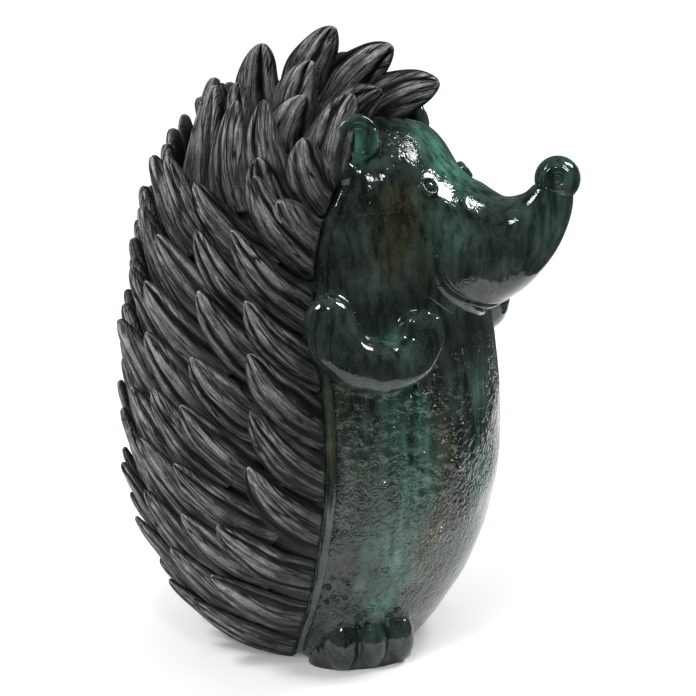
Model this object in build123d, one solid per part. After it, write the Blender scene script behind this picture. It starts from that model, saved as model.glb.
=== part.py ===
from build123d import *
from math import acos, asin, cos, degrees, pi, radians, sin, sqrt
import os

os.makedirs("parts", exist_ok=True)

# A hollow stoneware hedgehog sits upright. Its front is glazed, its back wears a coat of clay quills.
# Millimetres. The origin is on the floor, on the upright axis of the body. The face looks along -Y,
# +Z is up, and the animal's right side is at -X.

# Driving dimensions of the body, an egg of revolution made of three tangent arcs
BODY_R = 78.0
BODY_WIDEST_Z = 92.0
BASE_R = 42.0
SHOULDER_R = 60.0
SHOULDER_Z = 192.0
WALL = 7.0
FLOOR_THICKNESS = 8.0
BASE_EDGE_R = 5.0
VENT_D = 16.0
VENT_Y = 21.0
AIR_HOLE_D = 9.0

# Driving dimensions of the seam bead, where the glazed front meets the quill coat
BEAD_W = 4.5
BEAD_H = 1.4

# Driving dimensions of the head, a lobe that sweeps forward and turns up to the nose
HEAD_R = 46.0
HEAD_Z = 184.0
SNOUT_REACH = 104.0
NOSE_R = 9.4
NOSE_Z = 207.0
MOUTH_D = 2.2

# Driving dimensions of the eyes and ears
EYE_R = 4.3
EYE_PROUD = 2.4
EYE_X = 24.5
EYE_Z = 204.0
EAR_W = 20.0
EAR_H = 24.0
EAR_THICKNESS = 7.0
EAR_RIM_W = 3.4
EAR_CUP_DEPTH = 2.6
EAR_X = 34.5
EAR_Y = -28.5
EAR_Z = 222.5
EAR_FACING = (-0.83, -0.55, 0.10)
EAR_ALONG = (0.55, -0.83, 0)

# Driving dimensions of the limbs
ARM_R = 10.5
HAND_R = 9.0
ARM_PROUD = 5.0
FINGERS = 3
FINGER_R = 4.0
FINGER_FAN = 42
FOOT_ANGLE_RIGHT = 48
FOOT_ANGLE_LEFT = 62
FOOT_W = 46.0
FOOT_H = 25.0
FOOT_L = 30.0
FOOT_REACH = 44.0
TOES = 3
TOE_STEP = 13
TOE_W = 16.5
TOE_H = 23.0
TOE_L = 24.0
TOE_REACH = 64.0

# Driving dimensions of the quills
QUILL_L = 44.0
QUILL_T_LOW = 3.4
QUILL_T_HIGH = 7.0
QUILL_BOW = 5.0
QUILL_ROOT_DEPTH = 6.0
COURSE_PITCH = 22.5
COURSE_FIRST = 10.0
COURSES = 10
QUILL_SPACING = 20.0
QUILL_W_SHARE = 0.81
SEAM_GAP = 1.0
TOP_COURSE_GAP = 17.0
BEND_LOW_SHARE = 0.85
BEND_HIGH_SHARE = 0.35
BEND_LOW_Z = 46.0
BEND_HIGH_Z = 140.0
LEAN_LOW = 1.4
LEAN_HIGH = 0.95
LEAN_CROWN = -1.2
LIFT_LOW = 7
LIFT_BACK = 16
LIFT_CROWN = 52
CROWN_QUILL_W = 20.0
CROWN_QUILL_T = 7.0
CROWN_QUILL_BOW = 3.5

# One overrun serves every cutting block
OVERRUN = 20.0

# Sizes of the egg that follow from the driving ones
LOW_ARC_R = ((BODY_R - BASE_R) ** 2 + BODY_WIDEST_Z ** 2) / (2 * (BODY_R - BASE_R))
UP_RISE = SHOULDER_Z - BODY_WIDEST_Z
UP_ARC_R = ((BODY_R - SHOULDER_R) ** 2 + UP_RISE ** 2) / (2 * (BODY_R - SHOULDER_R))
LOW_TURN = asin(BODY_WIDEST_Z / LOW_ARC_R)
SHOULDER_TURN = asin(UP_RISE / UP_ARC_R)
CROWN_R = SHOULDER_R / cos(SHOULDER_TURN)
CROWN_Z = SHOULDER_Z - CROWN_R * sin(SHOULDER_TURN)
BODY_H = CROWN_Z + CROWN_R
LOW_ARC_L = LOW_ARC_R * LOW_TURN
UP_ARC_L = UP_ARC_R * SHOULDER_TURN


def arc_point(centre_r, centre_z, radius, angle):
    """Point of the body's outline: radius from the axis and height."""
    return centre_r + radius * cos(angle), centre_z + radius * sin(angle)


def egg(offset):
    """The egg, moved outwards by offset, as one solid of revolution that stands on the floor."""
    low_c, up_c = BODY_R - LOW_ARC_R, BODY_R - UP_ARC_R
    low, up, crown = LOW_ARC_R + offset, UP_ARC_R + offset, CROWN_R + offset
    foot_turn = asin(BODY_WIDEST_Z / low)
    foot = arc_point(low_c, BODY_WIDEST_Z, low, -foot_turn)
    low_mid = arc_point(low_c, BODY_WIDEST_Z, low, -foot_turn / 2)
    widest = arc_point(low_c, BODY_WIDEST_Z, low, 0)
    up_mid = arc_point(up_c, BODY_WIDEST_Z, up, SHOULDER_TURN / 2)
    shoulder = arc_point(up_c, BODY_WIDEST_Z, up, SHOULDER_TURN)
    crown_mid = arc_point(0, CROWN_Z, crown, (SHOULDER_TURN + pi / 2) / 2)
    apex = (0, CROWN_Z + crown)
    outline = Polyline((0, foot[1]), foot)
    outline += ThreePointArc(foot, low_mid, widest)
    outline += ThreePointArc(widest, up_mid, shoulder)
    outline += ThreePointArc(shoulder, crown_mid, apex)
    outline += Line(apex, (0, foot[1]))
    profile = Plane.XZ * make_face(outline)
    return revolve(profile, Axis.Z)


def egg_place(run):
    """Radius, height and slope of the outline's normal, at a run along it from the base edge."""
    if run < LOW_ARC_L:
        turn = run / LOW_ARC_R - LOW_TURN
        r, z = arc_point(BODY_R - LOW_ARC_R, BODY_WIDEST_Z, LOW_ARC_R, turn)
    elif run < LOW_ARC_L + UP_ARC_L:
        turn = (run - LOW_ARC_L) / UP_ARC_R
        r, z = arc_point(BODY_R - UP_ARC_R, BODY_WIDEST_Z, UP_ARC_R, turn)
    else:
        turn = SHOULDER_TURN + (run - LOW_ARC_L - UP_ARC_L) / CROWN_R
        r, z = arc_point(0, CROWN_Z, CROWN_R, turn)
    return r, z, turn


def egg_radius(z):
    """Radius of the egg at a height."""
    if z < BODY_WIDEST_Z:
        return BODY_R - LOW_ARC_R + sqrt(LOW_ARC_R ** 2 - (z - BODY_WIDEST_Z) ** 2)
    if z < SHOULDER_Z:
        return BODY_R - UP_ARC_R + sqrt(UP_ARC_R ** 2 - (z - BODY_WIDEST_Z) ** 2)
    return sqrt(max(CROWN_R ** 2 - (z - CROWN_Z) ** 2, 0))


# The seam, seen from the side: height as a share of the body's height, depth as a share of its radius
SEAM_SHARES = (
    (0.00, -0.03), (0.13, -0.21), (0.24, -0.31), (0.36, -0.37), (0.46, -0.37), (0.56, -0.34),
    (0.68, -0.29), (0.79, -0.275), (0.88, -0.32), (0.94, -0.36), (1.02, -0.40),
)


def seam_y(z):
    """Depth of the seam at a height, between the seam's points."""
    share = z / BODY_H
    for (low, low_y), (high, high_y) in zip(SEAM_SHARES, SEAM_SHARES[1:]):
        if share <= high:
            return BODY_R * (low_y + (high_y - low_y) * (share - low) / (high - low))
    return BODY_R * SEAM_SHARES[-1][1]


def region_behind(shift):
    """All space behind the seam moved back by shift, as one block."""
    reach = BODY_R + OVERRUN
    points = [(y * BODY_R + shift, z * BODY_H) for z, y in SEAM_SHARES]
    below, above = (points[0][0], -OVERRUN), (points[-1][0], BODY_H + OVERRUN)
    edge = Line(below, points[0]) + Spline(points) + Line(points[-1], above)
    edge += Polyline(above, (reach, BODY_H + OVERRUN), (reach, -OVERRUN), below)
    return extrude(Plane.YZ * make_face(edge), reach, both=True)


# Body shells: front and back halves of the hollow egg, and the slab that closes it below
egg_outer = egg(0)
egg_inner = egg(-WALL)
shell = egg_outer - egg_inner
base_edges = shell.edges().filter_by(GeomType.CIRCLE).sort_by(Axis.Z)[:2].sort_by(SortBy.RADIUS)
shell = fillet(base_edges[-1], BASE_EDGE_R)
behind = region_behind(0)
coat_shell = shell & behind
bead = (egg(BEAD_H) - egg_outer) & (region_behind(-BEAD_W) - behind)
bead -= Pos(0, 0, -OVERRUN) * Box(4 * BODY_R, 4 * BODY_R, 2 * OVERRUN + 2 * BASE_EDGE_R)
belly_shell = (shell - behind) + bead

slab_block = Pos(0, 0, FLOOR_THICKNESS / 2) * Box(4 * BODY_R, 4 * BODY_R, FLOOR_THICKNESS)
base_slab = egg_inner & slab_block
base_slab -= Pos(0, VENT_Y, 0) * Cylinder(VENT_D / 2, 4 * FLOOR_THICKNESS)

# Head: sections of the lobe, from inside the body to the tip. Each row gives the centre's reach as a share
# of the snout's, its rise above the head's height, its half height and half width as shares of the head's
# radius, and the pitch of the snout there in degrees.
HEAD_SECTION_SHARES = (
    (0.145, 0.000, 1.000, 0.980, 0),
    (0.400, 0.000, 0.940, 0.985, 0),
    (0.520, -0.130, 0.765, 0.870, 0),
    (0.620, -0.165, 0.640, 0.720, 4),
    (0.720, -0.125, 0.555, 0.590, 14),
    (0.812, -0.030, 0.445, 0.440, 31),
    (0.890, 0.100, 0.335, 0.315, 53),
    (0.955, 0.283, 0.232, 0.228, 75),
    (0.982, 0.410, 0.178, 0.178, 84),
)


def head_section(reach, rise, half_height, half_width, pitch, wall):
    """One elliptic section of the head, square to its centre line, drawn in by the wall."""
    ahead = (0, -cos(radians(pitch)), sin(radians(pitch)))
    centre = (0, -reach * SNOUT_REACH, HEAD_Z + rise * HEAD_R)
    place = Plane(origin=centre, x_dir=(1, 0, 0), z_dir=ahead)
    return place * Ellipse(half_width * HEAD_R - wall, half_height * HEAD_R - wall)


head_outer = loft([head_section(*row, 0) for row in HEAD_SECTION_SHARES])
head_inner = loft([head_section(*row, WALL) for row in HEAD_SECTION_SHARES[:5]])
air_hole_at = (0, -BODY_R, HEAD_Z)
air_hole = Plane(origin=air_hole_at, z_dir=(0, 1, 0)) * Cylinder(AIR_HOLE_D / 2, BODY_R)
belly_shell -= air_hole

nose = Pos(0, -SNOUT_REACH, NOSE_Z) * Sphere(NOSE_R) - head_outer


def on_head(x, z):
    """The point of the head's front at this x and height, and the outward normal there."""
    ray = Axis((x, -SNOUT_REACH * 2, z), (0, 1, 0))
    hits = head_outer.find_intersection_points(ray)
    point, normal = min(hits, key=lambda hit: hit[0].Y)
    return point, normal


# Mouth: a smile drawn round the snout with a round tool. Each row gives how far sideways and above the
# head's height it runs, as shares of the head's radius, from the corner to the middle.
SMILE_SHARES = (
    (-0.740, -0.150), (-0.694, -0.337), (-0.630, -0.437), (-0.554, -0.511), (-0.463, -0.570), (-0.363, -0.613),
    (-0.230, -0.643), (0, -0.655),
)
smile = [on_head(x * HEAD_R, HEAD_Z + z * HEAD_R)[0] for x, z in SMILE_SHARES]
smile += [Vector(-point.X, point.Y, point.Z) for point in reversed(smile[:-1])]
smile_path = Spline(*smile)
smile_tool = Plane(origin=smile_path @ 0, z_dir=smile_path % 0) * Circle(MOUTH_D / 2)
mouth = sweep(smile_tool, path=smile_path)
head_shell = head_outer - egg_outer - head_inner - bead - mouth

# Eyes: a bead inside a low ring
eye_point, eye_normal = on_head(-EYE_X, EYE_Z)
eye_plane = Plane(origin=eye_point, z_dir=eye_normal)
eye_ring_r = EYE_PROUD / 2
eye_right = eye_plane * Torus(EYE_R - eye_ring_r, eye_ring_r)
eye_right += eye_plane * Pos(0, 0, EYE_PROUD - EYE_R) * Sphere(EYE_R)
eye_right = eye_right - head_outer - egg_outer

# Ears: an upright oval with a rounded rim and a dished cup, standing on the crown beside the seam
ear_plane = Plane(origin=(-EAR_X, EAR_Y, EAR_Z), x_dir=EAR_ALONG, z_dir=EAR_FACING)
ear_oval = extrude(ear_plane * Ellipse(EAR_W / 2, EAR_H / 2), EAR_THICKNESS / 2, both=True)
ear_oval = fillet(ear_oval.edges(), EAR_THICKNESS / 2 - EAR_CUP_DEPTH / 4)
cup_half = EAR_W / 2 - EAR_RIM_W
cup_ball_r = (cup_half ** 2 + EAR_CUP_DEPTH ** 2) / (2 * EAR_CUP_DEPTH)
cup_rise = EAR_THICKNESS / 2 + cup_ball_r - EAR_CUP_DEPTH
ear_right = ear_oval - ear_plane * Pos(0, 0, cup_rise) * Sphere(cup_ball_r)
ear_right = ear_right - egg_outer - bead - head_outer


def body_place(angle, z, offset):
    """Point over the front of the body at an angle from straight ahead, right side positive."""
    r = egg_radius(z) + offset
    return Vector(-r * sin(radians(angle)), -r * cos(radians(angle)), z)


# Arms: from the shoulder at the seam down and round to the wrist. Each row gives the angle from straight
# ahead in degrees, the height as a share of the body's, and the radius as a share of the arm's.
ARM_SHARES = (
    (67, 0.668, 0.93),
    (65, 0.626, 1.00),
    (59, 0.593, 1.00),
    (50, 0.584, 1.00),
    (42, 0.600, 0.92),
    (38, 0.630, 0.84),
)
arm_points = [body_place(angle, share * BODY_H, ARM_PROUD) for angle, share, _ in ARM_SHARES]
arm_path = Spline(*arm_points)
arm_sections = []
for (_, _, radius_share), point in zip(ARM_SHARES, arm_points):
    ahead = arm_path.tangent_at(arm_path.param_at_point(point))
    arm_sections.append(Plane(origin=point, z_dir=ahead) * Circle(ARM_R * radius_share))
arm_right = loft(arm_sections)
arm_right += Pos(*arm_points[0]) * Sphere(ARM_R * ARM_SHARES[0][2])
hand_at = arm_points[-1]
arm_right += Pos(*hand_at) * Sphere(HAND_R)

# Fingers: three short bumps side by side over the top of the hand
hand_turn = radians(ARM_SHARES[-1][0])
across = Vector(-cos(hand_turn), sin(hand_turn), 0)
out = Vector(-sin(hand_turn), -cos(hand_turn), 0)
for finger in range(FINGERS):
    turn = radians(90 - FINGER_FAN * (finger - (FINGERS - 1) / 2))
    way = across * cos(turn) + Vector(0, 0, sin(turn))
    arm_right += Pos(*(hand_at + way * (HAND_R - FINGER_R / 2) + out * FINGER_R / 2)) * Sphere(FINGER_R)
arm_right = arm_right - egg_outer - bead - head_outer - behind


def ellipsoid(at, turn, length, width, height):
    """A ball stretched to a length outwards, a width sideways and a height, turned to an angle."""
    ball = scale(Sphere(1), (width / 2, length / 2, height / 2))
    return Pos(*at) * Rot(0, 0, -turn) * ball


def floor_place(angle, reach, z):
    """Point at an angle from straight ahead, a reach from the axis and a height."""
    return Vector(-reach * sin(radians(angle)), -reach * cos(radians(angle)), z)


# Feet: a mound under the belly, with three upright toes side by side. The left foot stands a little
# further round than the right.
below_floor = Pos(0, 0, -OVERRUN) * Box(4 * BODY_R, 4 * BODY_R, 2 * OVERRUN)


def foot(angle):
    """One foot at an angle from straight ahead."""
    shape = ellipsoid(floor_place(angle, FOOT_REACH, 0), angle, FOOT_L, FOOT_W, 2 * FOOT_H)
    for toe in range(TOES):
        turn = angle + (toe - (TOES - 1) / 2) * TOE_STEP
        toe_at = floor_place(turn, TOE_REACH - TOE_L / 2, TOE_H - TOE_W * 3 / 4)
        shape += ellipsoid(toe_at, turn, TOE_L, TOE_W, TOE_W * 3 / 2)
    return shape - below_floor - egg_outer - bead - behind


# Quills: leaf-shaped plates of clay, laid in courses like shingles. A quill's cross-section has three ridges
# with two grooves between them, given as shares of its half width and its thickness. Its outline narrows to
# a tip, blunter on the crown, and its centre line is bowed like a claw.
RIDGE_SHARES = (
    (-1, -0.05), (-0.62, 0.42), (-0.31, 0.34), (0, 0.60), (0.31, 0.34), (0.62, 0.42), (1, -0.05),
    (0.45, -0.25), (-0.45, -0.25),
)
STATION_SHARES = ((0.00, 0.80), (0.35, 1.00), (0.64, 0.90), (0.86, 0.56), (1.00, 0.16))
CROWN_STATION_SHARES = ((0.00, 0.80), (0.35, 1.00), (0.64, 0.93), (0.86, 0.68), (1.00, 0.28))

# Quills laid by hand are never alike: shares by which lean and length vary, and the beats of that variation
LEAN_VARIES_SHARE = 0.15
LENGTH_VARIES_SHARE = 0.08
LEAN_BEAT, LEAN_START = 2.6, 1.0
LENGTH_BEAT, LENGTH_START = 4.6, 2.0
COURSE_BEAT = 2.3

# The crown begins where the body's normal rises by this share
CROWN_SLOPE_SHARE = 0.4


def smooth_share(value, low, high):
    """0 below low, 1 above high, with an even S-curve between."""
    t = min(max((value - low) / (high - low), 0), 1)
    return t * t * (3 - 2 * t)


def lean_at(z):
    """How far a quill at this height leans back for each unit of rise. Over the crown it leans forwards."""
    lean = LEAN_LOW + (LEAN_HIGH - LEAN_LOW) * z / SHOULDER_Z
    return lean + (LEAN_CROWN - LEAN_HIGH) * smooth_share(z, SHOULDER_Z - WALL, BODY_H - WALL)


def sideways_share(root):
    """0 on the middle line of the back, 1 straight to the side."""
    return abs(root.X) / sqrt(root.X ** 2 + root.Y ** 2)


def growth(root, normal, varied):
    """The way a quill grows along the body: straight up at the back, leaning back beside the seam."""
    way = Vector(0, lean_at(root.Z) * sideways_share(root) * varied, 1)
    way -= normal * way.dot(normal)
    return way.normalized()


def lift_angle(normal, z):
    """How steeply a quill stands off the body: close to it low down, and more and more on the crown."""
    low = LIFT_LOW + (LIFT_BACK - LIFT_LOW) * smooth_share(z, 0, SHOULDER_Z)
    return low + (LIFT_CROWN - LIFT_BACK) * smooth_share(normal.Z, CROWN_SLOPE_SHARE, 1)


def curvature(root, normal, grow):
    """How sharply the body curves away along a quill."""
    if root.Z > SHOULDER_Z:
        return 1 / CROWN_R
    around = sqrt(1 - normal.Z ** 2) / sqrt(root.X ** 2 + root.Y ** 2)
    up = 1 / (LOW_ARC_R if root.Z < BODY_WIDEST_Z else UP_ARC_R)
    across = Vector(-root.Y, root.X, 0).normalized().dot(grow) ** 2
    return around * across + up * (1 - across)


def quill(root, axis, face, length, width, thickness, bend, bow, stations):
    """One quill as a loft through flat ridges, cut where it meets the body. The bend draws its tip towards
    the body and the bow arches it sideways."""
    side = axis.cross(face)
    sections = []
    for along, share in stations:
        centre = root + axis * (along * (length + QUILL_ROOT_DEPTH) - QUILL_ROOT_DEPTH)
        centre -= face * (bend * along ** 2) + side * (bow * 4 * along * (1 - along))
        corners = [
            centre + side * (x * share * width / 2) + face * (y * share * thickness)
            for x, y in RIDGE_SHARES
        ]
        sections.append(make_face(Polyline(*corners, close=True)))
    return loft(sections, ruled=True) - egg_outer


def course_quill(root, normal, width, lean_varied, length_varied):
    """A quill of a course, lying close over the body, with its tip turned up beside the seam."""
    lift = radians(lift_angle(normal, root.Z))
    grow = growth(root, normal, lean_varied)
    axis = grow * cos(lift) + normal * sin(lift)
    face = normal * cos(lift) - grow * sin(lift)
    bend_share = BEND_LOW_SHARE
    bend_share += (BEND_HIGH_SHARE - BEND_LOW_SHARE) * smooth_share(root.Z, BEND_LOW_Z, BEND_HIGH_Z)
    bend = bend_share * curvature(root, normal, grow) * (QUILL_L * cos(lift)) ** 2 / 2
    bow = QUILL_BOW * sideways_share(root) * (-1 if root.X > 0 else 1)
    thickness = QUILL_T_LOW + (QUILL_T_HIGH - QUILL_T_LOW) * smooth_share(root.Z, 0, SHOULDER_Z)
    return quill(root, axis, face, QUILL_L * length_varied, width, thickness, bend, bow, STATION_SHARES)


def back_place(angle, run):
    """Root and normal on the back at an angle from straight back and a run up the outline."""
    r, z, turn = egg_place(run)
    out = Vector(-sin(radians(angle)), cos(radians(angle)), 0)
    return out * r + Vector(0, 0, z), out * cos(turn) + Vector(0, 0, sin(turn))


def largest(shape):
    """The largest solid of a shape that was cut."""
    return max(shape.solids(), key=lambda part: part.volume)


def course(number):
    """One ring of quills from seam to seam, with every second ring set half a quill over. The last quill on
    each side is cut flush at the seam."""
    run = COURSE_FIRST + number * COURSE_PITCH
    r, z, _ = egg_place(run)
    edge = SEAM_GAP
    if number == COURSES - 1:
        edge += TOP_COURSE_GAP
    reach = r * acos(seam_y(z) / r) - edge
    first = (number % 2) / 2
    steps = int(reach / QUILL_SPACING - first)
    spacing = reach / (steps + first)
    quills = []
    for step in range(steps + 1):
        place = spacing * (step + first)
        lean_varied = 1 + LEAN_VARIES_SHARE * sin(LEAN_BEAT * step + COURSE_BEAT * number + LEAN_START)
        length_varied = 1 + LENGTH_VARIES_SHARE * sin(LENGTH_BEAT * step + COURSE_BEAT * number + LENGTH_START)
        for hand in ((1, -1) if place else (1,)):
            root, normal = back_place(hand * degrees(place / r), run)
            one = course_quill(root, normal, spacing * QUILL_W_SHARE, lean_varied, length_varied)
            quills.append(largest(one & behind) if step == steps else one)
    return quills


# Crown quills, laid by hand. Each row gives the root sideways and forwards, then the tip sideways, forwards
# and above the crown's centre, all as shares of the crown's radius.
CREST_SHARES = (
    (0, -0.13, 0, 0.100, 1.520),
    (0, 0.12, 0, 0.505, 1.410),
    (0, 0.36, 0, 0.830, 1.185),
    (0, -0.40, 0, -0.410, 1.395),
    (0, -0.66, 0, -0.725, 1.120),
)
FORELOCK = 2
SEAM_QUILL_SHARES = (
    (0.920, 0.290, 1.03, 0.09, 0.52),
    (0.800, 0.330, 0.80, 0.17, 0.88),
    (0.727, 0.312, 0.44, 0.37, 1.12),
    (0.930, 0.120, 0.95, -0.06, 0.77),
)
CROWN_SHARES = (
    (0.64, 0.02, 0.56, 0.10, 1.12),
    (0.60, -0.32, 0.50, -0.36, 1.18),
    (0.38, -0.62, 0.31, -0.70, 1.06),
    (0.36, 0.30, 0.27, 0.50, 1.16),
    (0.38, -0.03, 0.28, 0.05, 1.31),
)


def crown_quill(row):
    """A quill of the crown's right side or its crest, with its broad side turned outwards."""
    x, y, tip_x, tip_y, tip_z = (share * CROWN_R for share in row)
    root = Vector(-x, -y, CROWN_Z + sqrt(CROWN_R ** 2 - x ** 2 - y ** 2))
    axis = Vector(-tip_x, -tip_y, CROWN_Z + tip_z) - root
    length = axis.length
    axis = axis.normalized()
    outwards = Vector(-x, -y, 0) if x else Vector(-1, 0, 0)
    face = (outwards - axis * outwards.dot(axis)).normalized()
    bow = CROWN_QUILL_BOW
    return quill(root, axis, face, length, CROWN_QUILL_W, CROWN_QUILL_T, 0, bow, CROWN_STATION_SHARES)


def pressed(shape, laid):
    """A quill trimmed where it is pressed against the pieces laid before it."""
    for piece in laid:
        if shape.bounding_box().overlaps(piece.bounding_box()):
            shape = largest(shape - piece)
    return shape


def write(name, shape):
    """One sub-part to its file."""
    export_step(shape, f"parts/{name}.step")


def write_pair(name, shape):
    """A right-hand piece and its mirror image."""
    write(f"{name}_right", shape)
    write(f"{name}_left", mirror(shape, about=Plane.YZ))


courses = [course(number) for number in range(COURSES)]
crest = []
for row in CREST_SHARES:
    crest.append(pressed(crown_quill(row), [bead] + courses[-1] + crest))
laid = [ear_right, bead] + courses[-3] + courses[-2] + courses[-1]
seam_quills = []
for row in SEAM_QUILL_SHARES:
    seam_quills.append(pressed(crown_quill(row), laid + seam_quills))
crown_quills = []
for row in CROWN_SHARES:
    crown_quills.append(pressed(crown_quill(row), laid + seam_quills + crest + crown_quills))

write("belly_shell", belly_shell)
write("coat_shell", coat_shell)
write("base_slab", base_slab)
write("head_shell", head_shell)
write("nose", nose)
write_pair("eye", eye_right)
write_pair("ear", ear_right)
write_pair("arm", arm_right)
write("foot_right", foot(FOOT_ANGLE_RIGHT))
write("foot_left", foot(-FOOT_ANGLE_LEFT))
for number, quills in enumerate(courses, 1):
    write(f"quill_course_{number:02d}", Compound(children=quills))
forelock = crest.pop(FORELOCK)
write("crest_quills", Compound(children=crest))
write("forelock_quill", forelock)
write_pair("seam_quills", Compound(children=seam_quills))
write_pair("crown_quills", Compound(children=crown_quills))
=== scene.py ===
# %% [markdown]
# # A glazed stoneware hedgehog
# The real object is a hollow pot with a glazed front, a coat of clay quills behind, and small hand-formed
# pieces pressed on: head, nose, eyes, ears, arms and feet. The CAD model is the frame. Each skin below is
# worked out as a grid of points, so that wet-clay softness and glaze can go where plain CAD faces were.
# All shapes are worked out in millimetres, in the frame's own axes, and turned to metres when a mesh is made.

# %% Load the frame
from math import acos, asin, cos, pi, radians, sin, sqrt

import bpy
import numpy as np
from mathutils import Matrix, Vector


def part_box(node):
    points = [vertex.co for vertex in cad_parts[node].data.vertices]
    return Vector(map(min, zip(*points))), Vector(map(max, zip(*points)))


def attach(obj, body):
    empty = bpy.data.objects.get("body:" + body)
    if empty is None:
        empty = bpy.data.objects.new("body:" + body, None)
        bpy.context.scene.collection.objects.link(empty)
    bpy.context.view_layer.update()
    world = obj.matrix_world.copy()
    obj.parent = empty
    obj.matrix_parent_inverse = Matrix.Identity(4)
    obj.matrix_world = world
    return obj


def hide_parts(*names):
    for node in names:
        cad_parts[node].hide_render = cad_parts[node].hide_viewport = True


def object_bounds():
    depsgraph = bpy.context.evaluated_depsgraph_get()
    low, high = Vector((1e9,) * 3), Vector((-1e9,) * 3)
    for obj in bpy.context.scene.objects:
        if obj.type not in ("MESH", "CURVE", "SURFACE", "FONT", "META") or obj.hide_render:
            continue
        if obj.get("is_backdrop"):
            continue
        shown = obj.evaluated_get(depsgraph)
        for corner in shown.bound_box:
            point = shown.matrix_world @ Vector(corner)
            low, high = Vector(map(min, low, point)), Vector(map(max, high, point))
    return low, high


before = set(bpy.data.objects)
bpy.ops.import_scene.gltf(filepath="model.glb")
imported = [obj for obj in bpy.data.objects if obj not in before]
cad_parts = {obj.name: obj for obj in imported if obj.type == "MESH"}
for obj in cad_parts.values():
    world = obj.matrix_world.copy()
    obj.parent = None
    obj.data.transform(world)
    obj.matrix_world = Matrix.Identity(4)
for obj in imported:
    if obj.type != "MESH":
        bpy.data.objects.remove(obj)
cad_low, cad_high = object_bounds()
print("frame nodes", len(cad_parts))

MM = 0.001

# %% [markdown]
# ## Small tools for arrays of points
# A soft step, a soft smaller-of-two and a slow wobble are enough to make thrown and pressed clay. They take
# whole arrays, so that a skin of fifty thousand points is worked out in one go.

# %% Small tools


def smooth(x, low, high):
    """0 below low, 1 above high, and an even S-curve between: 3 t squared less 2 t cubed."""
    t = np.clip((x - low) / (high - low), 0, 1)
    return t * t * (3 - 2 * t)


def unit(v):
    """Each vector divided by its length."""
    return v / np.maximum(np.linalg.norm(v, axis=-1, keepdims=True), 1e-9)


def right_side(p):
    """The points, with those of the left side brought over to the right, where x is negative."""
    return np.stack([-np.abs(p[..., 0]), p[..., 1], p[..., 2]], -1)


def soft_min(a, b, k):
    """The smaller of two distances, with a fillet of size k where they are nearly equal."""
    h = np.maximum(k - np.abs(a - b), 0) / k
    return np.minimum(a, b) - h * h * k / 4


def wobble(p, size, seed, waves=9):
    """Slow unevenness between about -1 and 1: the mean of sine waves that run in random directions, each
    about one size long."""
    rng = np.random.default_rng(seed)
    way = unit(rng.normal(size=(waves, 3))) * (2 * pi / size) * rng.uniform(0.7, 1.5, (waves, 1))
    return np.sin(p @ way.T + rng.uniform(0, 2 * pi, waves)).mean(-1) * 2


def curve(points, count):
    """A Catmull-Rom curve through the rows of points, read at count even places. A row may carry radii."""
    rows = np.asarray(points, float)
    last = len(rows) - 2
    rows = np.concatenate([2 * rows[:1] - rows[1:2], rows, 2 * rows[-1:] - rows[-2:-1]])
    t = np.linspace(0, last + 1, count)
    i = np.minimum(t.astype(int), last)
    f = (t - i)[:, None]
    a, b, c, d = rows[i], rows[i + 1], rows[i + 2], rows[i + 3]
    return 0.5 * (2 * b + (c - a) * f + (2 * a - 5 * b + 4 * c - d) * f ** 2
                  + (3 * b - a - 3 * c + d) * f ** 3)


def around(cols):
    """Even angles once round, the last one short of the first."""
    return np.linspace(0, 2 * pi, cols, endpoint=False)


def grid_normals(grid, away, round_u=True):
    """Normals of a grid of points: along the rows crossed with along the columns, all turned to the side
    that agrees with the ways away from the middle."""
    du = (np.roll(grid, -1, 1) - np.roll(grid, 1, 1)) if round_u else np.gradient(grid, axis=1)
    normals = unit(np.cross(du, np.gradient(grid, axis=0)))
    return normals if (normals * away).sum() > 0 else -normals


# %% [markdown]
# ## From grid to mesh
# Every skin is a grid of rows. A skin that closes round, such as an arm, joins its last column to its first,
# and its two ends are closed by a pole. Meshes are filled from whole arrays, which is quick in Blender.

# %% Grid to mesh


def grid_faces(rows, cols, round_u):
    """Four corner numbers for each cell of a grid that is stored row by row."""
    i = np.arange(rows - 1)[:, None] * cols
    j = np.arange(cols if round_u else cols - 1)[None, :]
    k = (j + 1) % cols
    return np.stack([i + j, i + k, i + cols + k, i + cols + j], -1).reshape(-1, 4)


def closed_skin(grid, first_pole, last_pole):
    """Points, quads and triangles of a grid that closes round, with a pole at each end."""
    rows, cols = grid.shape[:2]
    count = rows * cols
    points = np.concatenate([grid.reshape(-1, 3), [first_pole, last_pole]])
    j = np.arange(cols)
    k = (j + 1) % cols
    top = count - cols
    tris = np.concatenate([np.stack([k, j, np.full(cols, count)], -1),
                           np.stack([top + j, top + k, np.full(cols, count + 1)], -1)])
    return points, grid_faces(rows, cols, True), tris


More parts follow.
